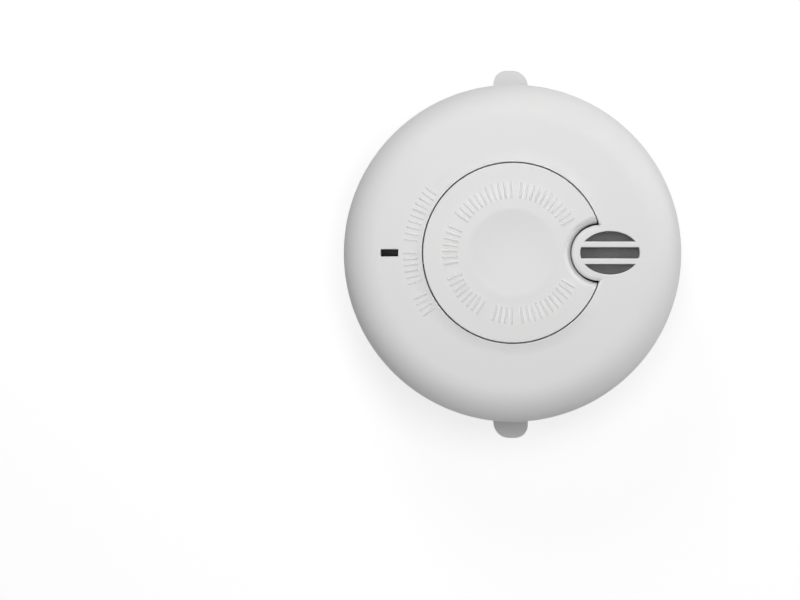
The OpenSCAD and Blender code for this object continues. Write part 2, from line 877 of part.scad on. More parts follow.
module status_led() {
    dome_z = board_top + led_h - led_d / 2;
    base = led_d + 2 * led_base_w;
    color(clear_blue) at_light() {
        bar(led_d, board_top, dome_z);
        translate([0, 0, dome_z]) sphere(d = led_d);
        block(base, base, board_top, board_top + led_base_t);
    }
}

module controller_chip() {
    length = 10.2;
    width = 7.5;
    height = 2.3;
    stand = 0.2;
    legs = 8;
    leg_pitch = 1.27;
    leg_w = 0.45;
    leg_l = 1.3;
    color(black) translate([chip_x, 0, 0]) {
        block(length, width, board_top + stand, board_top + height);
        for (side = [-1, 1], i = [0:legs - 1])
            translate([(i - (legs - 1) / 2) * leg_pitch, side * (width + leg_l - eps) / 2, 0])
                block(leg_w, leg_l, board_top, board_top + height / 2);
    }
}

module surface_mount_parts() {
    part_l = 2;
    part_w = 1.2;
    part_h = 0.8;
    pitch = 3.6;
    columns = 5;
    color(brass) for (side = [-1, 1], i = [0:columns - 1])
        translate([passive_x + i * pitch, side * passive_y, 0])
            block(part_w, part_l, board_top, board_top + part_h);
}

module storage_capacitor() {
    can_d = 8;
    can_h = 9;
    neck_z = 1.2;
    neck_h = 0.8;
    neck_depth = 0.4;
    color(black) translate([capacitor_x, capacitor_y, 0]) difference() {
        bar(can_d, board_top, board_top + can_h);
        ring(can_d, can_d / 2 - neck_depth, board_top + neck_z, board_top + neck_z + neck_h);
    }
}

module horn_coil() {
    drum_w = 9;
    core_d = 6.4;
    cheek = 1.2;
    coil_h = 7;
    color(charcoal) translate([coil_x, coil_y, 0]) {
        bar(drum_w, board_top, board_top + cheek);
        bar(core_d, board_top, board_top + coil_h);
        bar(drum_w, board_top + coil_h - cheek, board_top + coil_h);
    }
}

// Smoke chamber

// Chevron vanes that let smoke in and keep light out, left out beside the two optics
module vanes() {
    for (i = [0:vane_count - 1]) {
        a = i * 360 / vane_count;
        if (abs(abs(a - 180) - optic_angle) > vane_clear)
            rotate([0, 0, a]) translate([vane_r, 0, chamber_sill])
                for (turn = [vane_lean, 180 - vane_lean]) rotate([0, 0, turn])
                    translate([-vane_t / 2, -vane_t / 2, 0])
                        cube([vane_l, vane_t, chamber_roof - chamber_sill + eps]);
    }
}

// Holder of one optic, along its radial axis
module optic_holder() {
    front = optic_dome - optic_r - optic_gap;
    wide = optic_d + 2 * optic_wall;
    difference() {
        translate([front - optic_wall, -wide / 2, chamber_mid - wide / 2])
            cube([optic_end - front + optic_wall, wide, chamber_roof - chamber_mid + wide / 2 + eps]);
        translate([front, 0, chamber_mid]) rotate([0, 90, 0])
            cylinder(r = optic_r + optic_gap, h = optic_end);
        translate([0, 0, chamber_mid]) rotate([0, 90, 0]) cylinder(d = aperture_d, h = optic_end);
    }
}

module chamber_base() {
    color(black) difference() {
        union() {
            at_chamber() {
                bar(chamber_d, chamber_roof, board_z);
                vanes();
                translate([-baffle_x, 0, 0])
                    block(baffle_l, baffle_t, chamber_mid - optic_r, chamber_roof + eps);
                for (s = [-1, 1]) translate([0, s * peg_y, 0]) bar(peg_d, board_z - eps, lead_top);
            }
            for (side = [-1, 1]) at_optic(side) optic_holder();
        }
        for (side = [-1, 1]) at_optic(side) for (s = [-1, 1]) translate([lead_x, s * lead_pitch / 2, 0])
            bar(lead_d + 2 * lead_gap, chamber_mid, board_z + past);
    }
}

module chamber_cap() {
    color(black) at_chamber() difference() {
        bar(chamber_d, chamber_foot, chamber_sill);
        for (r = groove_radii)
            ring(r + groove_w, r, chamber_sill - groove_depth, chamber_sill + past);
    }
}

// Tube of fine steel sheet with rows of openings
module insect_screen() {
    pitch_z = (chamber_roof - chamber_sill) / mesh_rows;
    open_w = 2 * PI * mesh_r / mesh_columns * mesh_share;
    open_h = pitch_z * mesh_share;
    color(steel) at_chamber() difference() {
        ring(mesh_r, mesh_r - mesh_wall, chamber_sill, chamber_roof);
        for (row = [0:mesh_rows - 1], i = [0:mesh_columns / 2 - 1])
            rotate([0, 0, (i + 0.5) * 360 / mesh_columns])
                translate([0, 0, chamber_sill + (row + 0.5) * pitch_z])
                    cube([chamber_d, open_w, open_h], center = true);
    }
}

// One radial optic: domed body, rim and two bent leads
module optic() {
    along = optic_end - optic_dome;
    translate([optic_dome, 0, chamber_mid]) {
        sphere(r = optic_r);
        rotate([0, 90, 0]) cylinder(r = optic_r, h = along);
        translate([along, 0, 0]) rotate([0, 90, 0]) cylinder(r = optic_r + optic_rim, h = optic_rim_t);
        for (s = [-1, 1]) translate([along + optic_rim_t - eps, s * lead_pitch / 2, 0])
            rotate([0, 90, 0]) cylinder(d = lead_d, h = lead_reach + eps);
    }
    for (s = [-1, 1]) translate([lead_x, s * lead_pitch / 2, 0])
        bar(lead_d, chamber_mid - lead_d / 2, lead_top);
}

module infrared_emitter() {
    color(clear_blue) at_optic(1) optic();
}

module light_sensor() {
    color(charcoal) at_optic(-1) optic();
}

// Battery

module battery_cell() {
    body = cell_l / 2 - cell_cap_h;
    color(steel) translate([cell_x, 0, cell_z]) rotate([-90, 0, 0]) rotate_extrude() polygon([
        [0, -cell_l / 2], [cell_r - cell_edge, -cell_l / 2], [cell_r, -cell_l / 2 + cell_edge],
        [cell_r, body - cell_edge], [cell_r - cell_edge, body], [cell_cap_d / 2, body],
        [cell_cap_d / 2, cell_l / 2], [0, cell_l / 2]]);
}

// Welded strap from one end of the cell up through the board
module battery_tab(side) {
    translate([cell_x, side * (cell_l + tab_t) / 2, 0])
        block(tab_w, tab_t, cell_z - tab_w / 2, tab_top);
}

module battery_tab_positive() {
    color(steel) battery_tab(1);
}

module battery_tab_negative() {
    color(steel) battery_tab(-1);
}

// Horn

module horn_cup() {
    color(black) at_horn() {
        ring(horn_r, horn_r - horn_wall, board_top, horn_top);
        ring(horn_r - horn_wall + eps, disc_seat_in, disc_z - disc_seat_t, disc_z);
    }
}

module piezo_plate() {
    color(brass) at_horn() bar(2 * disc_r, disc_z, disc_z + disc_t);
}

module piezo_ceramic() {
    color(white) at_horn() bar(ceramic_d, disc_z - ceramic_t, disc_z);
}

module horn_cap() {
    color(black) at_horn() difference() {
        union() {
            bar(horn_d, horn_top, horn_cap_top);
            ring(disc_r, disc_r - spigot_w, disc_z + disc_t, horn_top + eps);
        }
        bar(port_d, horn_top - past, horn_cap_top + past);
    }
}

module horn_gasket() {
    color(foam) difference() {
        oval(duct_out, horn_cap_top, duct_foot);
        oval(screen_step, horn_cap_top - past, duct_foot + past);
    }
}

// Two sprung pins from the board: one to the ceramic, one to the brass beside it
module horn_contacts() {
    pins = [[ceramic_d / 4, disc_z - ceramic_t], [-(ceramic_d / 2 + disc_seat_in) / 2, disc_z]];
    color(brass) at_horn() for (pin = pins) translate([pin[0], 0, 0]) {
        bar(contact_d, board_top, pin[1]);
        bar(contact_foot_d, board_top, board_top + contact_foot_t);
    }
}

mounting_plate();
rear_case();
case_screws();
front_cover();
light_pipe();
sound_screen();
test_button();
button_spring();
circuit_board();
test_switch_body();
test_switch_plunger();
power_switch_body();
power_pin();
power_spring();
status_led();
controller_chip();
surface_mount_parts();
storage_capacitor();
horn_coil();
chamber_base();
chamber_cap();
insect_screen();
infrared_emitter();
light_sensor();
battery_cell();
battery_tab_positive();
battery_tab_negative();
horn_cup();
piezo_plate();
piezo_ceramic();
horn_cap();
horn_gasket();
horn_contacts();
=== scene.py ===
"""Looks of a ceiling smoke alarm, dressed over its packed construction frame.

The frame holds every piece at its real place. This script draws finer meshes for the pieces that
show, gives every piece its finish, and sets up a pale studio with a camera in front of the button.
Sizes are in millimetres until a mesh is handed to Blender, which works in metres.
"""

import json
import logging
import math
from collections.abc import Callable, Iterable, Mapping, Sequence
from dataclasses import dataclass, replace
from enum import Enum

import bmesh
import bpy
import numpy as np
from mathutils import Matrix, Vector, geometry


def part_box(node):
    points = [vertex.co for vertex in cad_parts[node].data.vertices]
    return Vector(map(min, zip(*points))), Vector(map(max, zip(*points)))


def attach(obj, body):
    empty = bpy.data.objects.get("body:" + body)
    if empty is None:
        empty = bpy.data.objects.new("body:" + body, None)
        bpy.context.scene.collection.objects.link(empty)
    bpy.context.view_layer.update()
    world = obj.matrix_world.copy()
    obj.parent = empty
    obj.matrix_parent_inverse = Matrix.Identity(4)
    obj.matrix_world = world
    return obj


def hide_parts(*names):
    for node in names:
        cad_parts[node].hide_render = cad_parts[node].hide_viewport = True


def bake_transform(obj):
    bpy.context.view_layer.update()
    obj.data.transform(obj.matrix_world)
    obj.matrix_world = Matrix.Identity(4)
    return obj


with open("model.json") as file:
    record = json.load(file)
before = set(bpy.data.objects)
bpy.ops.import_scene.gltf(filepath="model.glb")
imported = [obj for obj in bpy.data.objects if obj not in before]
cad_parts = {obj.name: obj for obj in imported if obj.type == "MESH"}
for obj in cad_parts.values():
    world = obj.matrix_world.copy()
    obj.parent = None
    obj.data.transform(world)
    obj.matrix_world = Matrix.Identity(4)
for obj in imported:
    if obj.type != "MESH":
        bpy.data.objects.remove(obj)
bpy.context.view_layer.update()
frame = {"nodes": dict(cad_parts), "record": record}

MM = 0.001
QUARTER = math.pi / 2
WHITE = (1.0, 1.0, 1.0, 1.0)
LOG = logging.getLogger("smoke_alarm")

Spot = tuple[float, float]
Point = tuple[float, float, float]
Tone = tuple[float, float, float]
Height = Callable[[np.ndarray], np.ndarray]
Test = Callable[[np.ndarray], np.ndarray]
Piece = bpy.types.Object
Tree = bpy.types.NodeTree
Socket = bpy.types.NodeSocket

AXIS: Spot = (0.0, 0.0)

# Radius of the small face that closes a turned section on its axis
AXIS_R = 0.02
# Distance within which two spots count as one
SAME = 1e-6
# Angle from which the edge between two faces is drawn sharp
SHARP = math.radians(38)
# Step of the fan of columns round an open corner
FAN_STEP = math.radians(15)
# Share of its own depth that a column's spot keeps from every edge
SEATED = 0.97
# How far past a rounding its last spot lies, and how far its columns are followed
BEYOND, FOLLOWED = 0.2, 0.26
# How near the spots of one form come to the edge of another
TOUCH, APART = 0.1, 0.3
# Space round ribs, edges, rolled edges and rims that the plain spots leave to finer ones
RIB_CLEAR, EDGE_CLEAR, ROLL_CLEAR, RIM_CLEAR = 0.35, 0.5, 0.6, 0.9


class Body(Enum):
    """The moving bodies that a drawn piece can ride on."""

    HEAD = "head"
    BUTTON = "button"
    PIN = "pin"


class Grain(Enum):
    """The kinds of fine surface texture."""

    SPARKED = "sparked"
    BRUSHED = "brushed"
    PORES = "pores"
    TRACKS = "tracks"


# Finishes

# Share by which the fine texture varies the roughness
GLOSS_SPREAD = 0.1
# Detail of the fine noise, and its stretch along brushed lines
NOISE_DETAIL = 3.0
BRUSH_STRETCH = (0.04, 1.0, 1.0)
# Scale, width and darker tone of printed tracks
TRACK_SCALE, TRACK_WIDTH, TRACK_SHADE = 0.12, 0.03, 0.9


def add_node(tree: Tree, kind: str, values: Mapping[str, object] | None = None) -> bpy.types.Node:
    """Adds a shader node.

    Args:
        tree: Node tree that gets the node.
        kind: Kind of node.
        values: Fixed values of its inputs, by name.

    Returns:
        The new node.
    """
    made = tree.nodes.new(f"ShaderNode{kind}")
    for name, value in (values or {}).items():
        made.inputs[name].default_value = value
    return made


def join(tree: Tree, *links: tuple[Socket, Socket]) -> None:
    """Links sockets of a node tree, each pair from its source to its target."""
    for source, target in links:
        tree.links.new(source, target)


@dataclass(frozen=True)
class Finish:
    """A procedural finish: a tone that drifts a little, a roughness that varies and a fine relief.

    Attributes:
        slot: Name of the material slot in the record.
        tone: Base colour, linear.
        grain: Kind of fine texture.
        pitch: Size of the texture, in millimetres.
        relief: Depth of the texture, in millimetres.
        roughness: Mean roughness.
        drift: Share by which the tone varies over the surface.
        metallic: Share of metal.
        transmission: Share of light that passes through.
        coat: Weight of a clear coat.
        specular: Strength of the mirror-like part.
        second: Tone between the tracks of a printed surface.
    """

    slot: str
    tone: Tone
    grain: Grain = Grain.SPARKED
    pitch: float = 0.4
    relief: float = 0.004
    roughness: float = 0.5
    drift: float = 0.03
    metallic: float = 0.0
    transmission: float = 0.0
    coat: float = 0.0
    specular: float = 0.5
    second: Tone | None = None

    def material(self) -> bpy.types.Material:
        """Makes the finish as a Blender material.

        Returns:
            The material, with its nodes in place.
        """
        made = bpy.data.materials.new(self.slot)
        made.use_nodes = True
        tree = made.node_tree
        shader = next(n for n in tree.nodes if n.type == "BSDF_PRINCIPLED")
        shader.inputs["Metallic"].default_value = self.metallic
        shader.inputs["Transmission Weight"].default_value = self.transmission
        shader.inputs["Coat Weight"].default_value = self.coat
        shader.inputs["Specular IOR Level"].default_value = self.specular
        place = add_node(tree, "TexCoord").outputs["Object"]
        fine = self._texture(tree, place)
        low, high = (min(1.0, self.roughness * share) for share in (1 - GLOSS_SPREAD, 1 + GLOSS_SPREAD))
        gloss = add_node(tree, "MapRange", {"To Min": low, "To Max": high})
        bump = add_node(tree, "Bump", {"Distance": self.relief * MM})
        join(
            tree,
            (self._colour(tree, place, fine), shader.inputs["Base Color"]),
            (fine, gloss.inputs["Value"]),
            (gloss.outputs["Result"], shader.inputs["Roughness"]),
            (fine, bump.inputs["Height"]),
            (bump.outputs["Normal"], shader.inputs["Normal"]),
        )
        return made

    def _texture(self, tree: Tree, place: Socket) -> Socket:
        """Adds the fine texture.

        Args:
            tree: Node tree of the material.
            place: Socket that carries the place on the piece.

        Returns:
            The socket that carries the texture, from 0 to 1.
        """
        scale = 1 / (self.pitch * MM)
        if self.grain is Grain.PORES:
            cells = add_node(tree, "TexVoronoi", {"Scale": scale})
            join(tree, (place, cells.inputs["Vector"]))
            return cells.outputs["Distance"]
        noise = add_node(tree, "TexNoise", {"Scale": scale, "Detail": NOISE_DETAIL})
        if self.grain is Grain.BRUSHED:
            stretch = add_node(tree, "Mapping", {"Scale": BRUSH_STRETCH})
            join(tree, (place, stretch.inputs["Vector"]))
            place = stretch.outputs["Vector"]
        join(tree, (place, noise.inputs["Vector"]))
        return noise.outputs["Fac"]

    def _colour(self, tree: Tree, place: Socket, fine: Socket) -> Socket:
        """Adds the colour: a tone that drifts over the surface, or printed tracks.

        Args:
            tree: Node tree of the material.
            place: Socket that carries the place on the piece.
            fine: Socket of the fine texture.

        Returns:
            The socket that carries the colour.
        """
        if self.grain is Grain.TRACKS:
            tracks = add_node(tree, "TexBrick", {
                "Scale": TRACK_SCALE / (self.pitch * MM),
                "Mortar Size": TRACK_WIDTH,
                "Color1": self._shade(1.0),
                "Color2": self._shade(TRACK_SHADE),
                "Mortar": (*(self.second or self.tone), 1.0),
            })
            join(tree, (place, tracks.inputs["Vector"]))
            return tracks.outputs["Color"]
        ramp = add_node(tree, "ValToRGB")
        low, high = ramp.color_ramp.elements
        low.color, high.color = self._shade(1 - self.drift), self._shade(1 + self.drift)
        join(tree, (fine, ramp.inputs["Fac"]))
        return ramp.outputs["Color"]

    def _shade(self, share: float) -> tuple[float, ...]:
        """The tone made darker or lighter, as an opaque colour."""
        return (*(min(1.0, c * share) for c in self.tone), 1.0)


FINISHES = (
    Finish("white_plastic", (0.8, 0.8, 0.797), pitch=0.35, relief=0.004, roughness=0.56, drift=0.012,
           specular=0.35),
    Finish("dark_plastic", (0.03, 0.03, 0.032), pitch=0.3, relief=0.006, roughness=0.62, drift=0.15),
    Finish("smoked_plastic", (0.008, 0.008, 0.009), pitch=0.8, relief=0.001, roughness=0.36, drift=0.1,
           specular=0.05),
    Finish("screen_cloth", (0.25, 0.25, 0.255), pitch=0.15, relief=0.004, roughness=0.7, drift=0.2),
    Finish("spring_steel", (0.62, 0.63, 0.65), Grain.BRUSHED, 0.2, 0.002, 0.3, 0.05, metallic=1.0),
    Finish("screw_steel", (0.66, 0.67, 0.68), Grain.BRUSHED, 0.25, 0.002, 0.32, 0.06, metallic=1.0),
    Finish("mesh_steel", (0.55, 0.56, 0.58), Grain.BRUSHED, 0.2, 0.002, 0.38, 0.06, metallic=1.0),
    Finish("nickel_strip", (0.68, 0.67, 0.63), Grain.BRUSHED, 0.3, 0.002, 0.3, 0.05, metallic=1.0),
    Finish("board_laminate", (0.02, 0.12, 0.05), Grain.TRACKS, 0.5, 0.003, 0.4, coat=0.2,
           second=(0.05, 0.2, 0.09)),
    Finish("passive_parts", (0.42, 0.3, 0.18), pitch=0.3, relief=0.004, roughness=0.5, drift=0.2),
    Finish("clear_resin", (0.55, 0.62, 0.72), pitch=1.0, relief=0.001, roughness=0.12, drift=0.04,
           transmission=0.6),
    Finish("can_metal", (0.05, 0.05, 0.07), pitch=0.6, relief=0.001, roughness=0.28, drift=0.1, coat=0.3),
    Finish("ferrite", (0.06, 0.06, 0.06), pitch=0.2, relief=0.008, roughness=0.6, drift=0.25),
    Finish("cell_wrap", (0.3, 0.31, 0.33), pitch=1.2, relief=0.002, roughness=0.3, drift=0.06, coat=0.2),
    Finish("brass", (0.72, 0.52, 0.2), Grain.BRUSHED, 0.3, 0.002, 0.28, 0.06, metallic=1.0),
    Finish("piezo", (0.8, 0.79, 0.74), pitch=0.5, relief=0.002, roughness=0.35, drift=0.05),
    Finish("foam", (0.1, 0.1, 0.1), Grain.PORES, 0.35, 0.05, 0.85, 0.3),
)


class Palette:
    """The finishes of the record's slots, made once each."""

    def __init__(self, finishes: Iterable[Finish]) -> None:
        """Makes a material for each finish."""
        self.materials = {finish.slot: finish.material() for finish in finishes}

    def dress(self, piece: Piece, slot: str) -> None:
        """Gives a piece the finish of one slot."""
        piece.data.materials.clear()
        piece.data.materials.append(self.materials[slot])


# Outlines in the plane of the face


def arc_spots(radius: float, start: float, end: float, steps: int, centre: Spot = AXIS) -> list[Spot]:
    """Spots along an arc, both ends included.

    Args:
        radius: Radius of the arc.
        start: First angle, in radians.
        end: Last angle, in radians.
        steps: Number of steps between the ends.
        centre: Centre of the arc.

    Returns:
        The spots, in order.
    """
    angles = (start + (end - start) * i / steps for i in range(steps + 1))
    return [(centre[0] + radius * math.cos(a), centre[1] + radius * math.sin(a)) for a in angles]


def ring_spots(radius: float, count: int) -> list[Spot]:
    """Evenly spaced spots round the axis."""
    return arc_spots(radius, 0.0, math.tau, count)[:-1]


def polar_grid(inner: float, outer: float, step: float) -> np.ndarray:
    """Spots on rings round the axis, about evenly spaced.

    Args:
        inner: Radius of the first ring.
        outer: Radius of the last ring.
        step: Space between rings and between spots.

    Returns:
        Array of spots, one to a row.
    """
    rings = max(1, round((outer - inner) / step))
    made: list[Spot] = []
    for i in range(rings + 1):
        radius = inner + (outer - inner) * i / rings
        made += ring_spots(radius, max(1, round(math.tau * radius / step))) if radius else [AXIS]
    return np.array(made)


def from_axis(spots: np.ndarray) -> np.ndarray:
    """Distance of each spot from the axis."""
    return np.hypot(spots[:, 0], spots[:, 1])


def unit(rows: np.ndarray) -> np.ndarray:
    """Each row scaled to a length of 1."""
    return rows / np.linalg.norm(rows, axis=1)[:, None]


def smooth(share: np.ndarray) -> np.ndarray:
    """Eases a share that grows from 0 to 1, level at both ends."""
    held = np.clip(share, 0.0, 1.0)
    return held * held * (3 - 2 * held)


def divided(spots: Sequence[Spot], longest: float) -> list[Spot]:
    """Adds spots along the long sides of a closed outline.

    Args:
        spots: The outline.
        longest: Longest side to leave undivided.

    Returns:
        The outline with its long sides divided evenly.
    """
    made: list[Spot] = []
    for (ax, ay), (bx, by) in zip(spots, [*spots[1:], spots[0]]):
        parts = max(1, math.ceil(math.hypot(bx - ax, by - ay) / longest))
        made += [(ax + (bx - ax) * i / parts, ay + (by - ay) * i / parts) for i in range(parts)]
    return made


class EdgeField:
    """Distance to a set of outlines."""

    def __init__(self, outlines: Iterable[Sequence[Spot]], closed: bool = True) -> None:
        """Keeps the outlines' sides.

        Args:
            outlines: The outlines.
            closed: Whether each one ends where it starts.
        """
        starts, ends = [], []
        for outline in outlines:
            spots = np.array(outline)
            starts.append(spots if closed else spots[:-1])
            ends.append(np.roll(spots, -1, axis=0) if closed else spots[1:])
        self.start = np.concatenate(starts)
        self.side = np.concatenate(ends) - self.start

    def distance(self, spots: np.ndarray) -> np.ndarray:
        """Distance of each spot from the nearest side.

        Args:
            spots: Array of spots, one to a row.

        Returns:
            One distance for each spot.
        """
        away = spots[:, None, :] - self.start[None, :, :]
        length = (self.side**2).sum(axis=1)
        share = np.clip((away * self.side).sum(axis=2) / length, 0.0, 1.0)
        gap = away - share[:, :, None] * self.side
        return np.sqrt((gap**2).sum(axis=2).min(axis=1))


def edge_columns(outline: Sequence[Spot], depths: Sequence[float], inward: int) -> np.ndarray:
    """Spots set back from an outline, in columns square to it, fanned out at open corners.

    Args:
        outline: Closed outline.
        depths: Distances from the outline.
        inward: 1 if the surface lies left of the outline's run, or -1 if right of it.

    Returns:
        Array of spots, one to a row.
    """
    spots = np.array(outline)
    ahead = unit(np.roll(spots, -1, axis=0) - spots)
    normal = inward * np.column_stack((-ahead[:, 1], ahead[:, 0]))
    columns = []
    for spot, old, new in zip(spots, np.roll(normal, 1, axis=0), normal):
        turn = math.atan2(old[0] * new[1] - old[1] * new[0], float(old @ new))
        fan = round(abs(turn) / FAN_STEP) if turn * inward < 0 else 1
        for share in [i / fan for i in range(fan + 1)] if fan > 1 else [0.5]:
            angle = math.atan2(old[1], old[0]) + turn * share
            columns += [spot + d * np.array((math.cos(angle), math.sin(angle))) for d in depths]
    return np.array(columns)


def edge_depths(radius: float, steps: int = 4) -> list[float]:
    """Distances from an edge at which its rounding is drawn, with one more just beyond it."""
    turns = (QUARTER * (i + 1) / steps for i in range(steps))
    return [radius * (1 - math.cos(turn)) for turn in turns] + [radius + BEYOND]


def fillet_drop(distance: np.ndarray, radius: float) -> np.ndarray:
    """How far a rounded edge falls below the face at each distance from it."""
    inside = np.clip(radius - distance, 0.0, radius)
    return radius - np.sqrt(radius**2 - inside**2)


def seated(columns: np.ndarray, depths: Sequence[float], edges: EdgeField) -> np.ndarray:
    """Drops the spots of columns that lie nearer to another edge than to their own."""
    own = np.tile(np.array(depths), len(columns) // len(depths))
    return columns[edges.distance(columns) > own * SEATED]


# Mesh drawing


def box_of(node: str) -> tuple[Vector, Vector]:
    """Lowest and highest corner of a construction node, in millimetres."""
    low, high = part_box(node)
    return low / MM, high / MM


@dataclass(frozen=True)
class Stretch:
    """Places at which a piece would stretch between the body that carries it and one that slides; nothing in
    this script reads them.

    Attributes:
        slider: Body that slides.
        fixed: Place from which the piece starts to follow the slider.
        moving: Place from which it follows the slider fully.
    """

    slider: Body
    fixed: Vector
    moving: Vector


class Draft:
    """Points and faces of one piece while it is drawn, in millimetres."""

    def __init__(self) -> None:
        """Starts with nothing drawn."""
        self.points: list[Point] = []
        self.faces: list[tuple[int, ...]] = []

    def add(self, points: Iterable[Sequence[float]]) -> list[int]:
        """Adds points.

        Args:
            points: Their places.

        Returns:
            The points' numbers.
        """
        first = len(self.points)
        self.points += [tuple(map(float, point)) for point in points]
        return list(range(first, len(self.points)))

    def loop(self, spots: Sequence[Spot], height: float | Height) -> list[int]:
        """Adds a loop of points, all at one height or each at the height over its spot."""
        heights = height(np.array(spots)) if callable(height) else [height] * len(spots)
        return self.add((x, y, z) for (x, y), z in zip(spots, heights))

    def bridge(self, *loops: Sequence[int]) -> None:
        """Joins closed loops of equal length, one after the other.

        Args:
            loops: Loops of point numbers.
        """
        for low, high in zip(loops, loops[1:]):
            for i, j in zip(range(len(low)), [*range(1, len(low)), 0]):
                self.faces.append((low[i], low[j], high[j], high[i]))

    def solid(self, *loops: Sequence[int]) -> None:
        """Joins loops and closes the first and the last with a flat face."""
        self.bridge(*loops)
        self.faces += [tuple(loops[0]), tuple(loops[-1])]

    def sleeve(self, outline: Callable[[float], list[Spot]], section: Sequence[Spot]) -> None:
        """Adds a closed sleeve round a hole.

        Args:
            outline: Gives the hole's outline, grown by a distance.
            section: Section of the sleeve as distances from the hole and heights.
        """
        loops = [self.loop(outline(grow), z) for grow, z in section]
        self.bridge(*loops, loops[0])

    def turned(self, section: Sequence[Spot], centre: Spot = AXIS, segments: int = 32) -> None:
        """Adds a closed solid of revolution.

        Args:
            section: Half section as distance and height, from the axis round to the axis.
            centre: Place of its axis.
            segments: Number of segments round it.
        """
        loops = []
        for radius, z in section:
            around = [(centre[0] + x, centre[1] + y) for x, y in ring_spots(radius, segments)]
            loops.append(self.loop(around, z))
        self.solid(*loops)

    def tube(self, path: np.ndarray, radius: float, sides: int) -> None:
        """Adds a wire along a path, closed at both ends.

        Args:
            path: Points along the wire, one to a row.
            radius: Radius of the wire.
            sides: Number of sides.
        """
        along = unit(np.gradient(path, axis=0))
        side = unit(np.cross(along, (0.0, 0.0, 1.0)))
        loops = []
        for point, across, up in zip(path, side, np.cross(side, along)):
            loops.append(self.add(point + x * across + y * up for x, y in ring_spots(radius, sides)))
        self.solid(*loops)

    def panel(self, loops: Sequence[Sequence[int]], loose: np.ndarray, keep: Test, height: Height) -> None:
        """Fills the space between loops with triangles that follow a height.

        Args:
            loops: Loops of point numbers that bound the panel.
            loose: Further spots inside it, one to a row.
            keep: Says for each spot whether it belongs to the panel.
            height: Gives the height at each spot.
        """
        numbers = [n for loop in loops for n in loop]
        sides, first = [], 0
        for count in map(len, loops):
            sides += [(first + i, first + (i + 1) % count) for i in range(count)]
            first += count
        spots = [Vector(self.points[n][:2]) for n in numbers] + [Vector(s) for s in loose]
        verts, _, faces, origin, _, _ = geometry.delaunay_2d_cdt(spots, sides, [], 0, SAME, True)
        flat = np.array([tuple(v) for v in verts])
        place: list[int] = []
        for spot, z, source in zip(flat, height(flat), origin):
            known = [numbers[i] for i in source if i < len(numbers)]
            place += known[:1] or self.add([(*spot, z)])
        middles = np.array([flat[list(face)].mean(axis=0) for face in faces])
        for face, kept in zip(faces, keep(middles)):
            if kept:
                self.faces.append(tuple(place[i] for i in face))

    def piece(
        self,
        name: str,
        body: Body,
        slot: str,
        palette: Palette,
        replaces: str,
        stretch: Stretch | None = None,
    ) -> Piece:
        """Turns the draft into a piece that rides on a body, or that is left in place without a body when it
        is given a stretch.

        Args:
            name: Name of the piece.
            body: Body that carries it.
            slot: Material slot of its finish.
            palette: The made finishes.
            replaces: Construction node that it stands for.
            stretch: How it would stretch to a second body; only whether one is given is read.

        Returns:
            The finished object.
        """
        mesh = bpy.data.meshes.new(name)
        mesh.from_pydata([tuple(c * MM for c in p) for p in self.points], [], self.faces)
        shape = bmesh.new()
        shape.from_mesh(mesh)
        bmesh.ops.recalc_face_normals(shape, faces=shape.faces)
        for face in shape.faces:
            face.smooth = True
        shape.to_mesh(mesh)
        shape.free()
        mesh.set_sharp_from_angle(angle=SHARP)
        made = bpy.data.objects.new(name, mesh)
        bpy.context.scene.collection.objects.link(made)
        if stretch:
            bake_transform(made)
        else:
            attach(made, body.value)
        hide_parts(replaces)
        palette.dress(made, slot)
        LOG.info("%s: %d faces on %s", name, len(mesh.polygons), body.value)
        return made


# Shared forms


@dataclass(frozen=True)
class Dome:
    """Outer form of the head: a crown arc, a shoulder arc tangent to it and a leaning side.

    Attributes:
        rim_r: Radius at the rim.
        rim_z: Height of the rim.
        top_z: Height of the crown on the axis.
        crown_r: Radius of the crown.
        shoulder_r: Radius of the shoulder.
        draft: Lean of the side, in radians.
    """

    rim_r: float
    rim_z: float
    top_z: float = 50.0
    crown_r: float = 600.0
    shoulder_r: float = 13.0
    draft: float = math.radians(2.5)

    def height(self, spots: np.ndarray, inset: float = 0.0) -> np.ndarray:
        """Height of the crown over each spot, or of a form set in from it."""
        square = (spots**2).sum(axis=1)
        return self.top_z - self.crown_r + np.sqrt((self.crown_r - inset) ** 2 - square)

    def height_at(self, x: float, inset: float) -> float:
        """Height of a form set in from the crown over one spot on the X axis."""
        return float(self.height(np.array([(x, 0.0)]), inset)[0])

    def shoulder(self) -> tuple[float, float, float]:
        """Place of the shoulder's arc.

        Returns:
            Distance of its centre from the axis, height of its centre, and the angle where the crown ends.
        """
        lean = math.tan(self.draft)
        reach = self.rim_r - self.shoulder_r / math.cos(self.draft) + self.rim_z * lean
        base = self.top_z - self.crown_r
        a = 1 + lean**2
        b = -2 * (base + reach * lean)
        c = reach**2 + base**2 - (self.crown_r - self.shoulder_r) ** 2
        z = (-b + math.sqrt(b**2 - 4 * a * c)) / (2 * a)
        x = reach - z * lean
        return x, z, math.atan2(z - base, x)

    def crown_end(self, inset: float = 0.0) -> float:
        """Distance from the axis at which the crown turns into the shoulder."""
        return (self.crown_r - inset) * math.cos(self.shoulder()[2])

    def flank(self, inset: float, steps: int) -> list[Spot]:
        """Half section of the shoulder, from the crown's end to the top of the straight side."""
        x, z, start = self.shoulder()
        return arc_spots(self.shoulder_r - inset, start, self.draft, steps, (x, z))

    def side_r(self, z: float, inset: float) -> float:
        """Radius of the leaning side at a height."""
        return self.rim_r - (z - self.rim_z) * math.tan(self.draft) - inset / math.cos(self.draft)


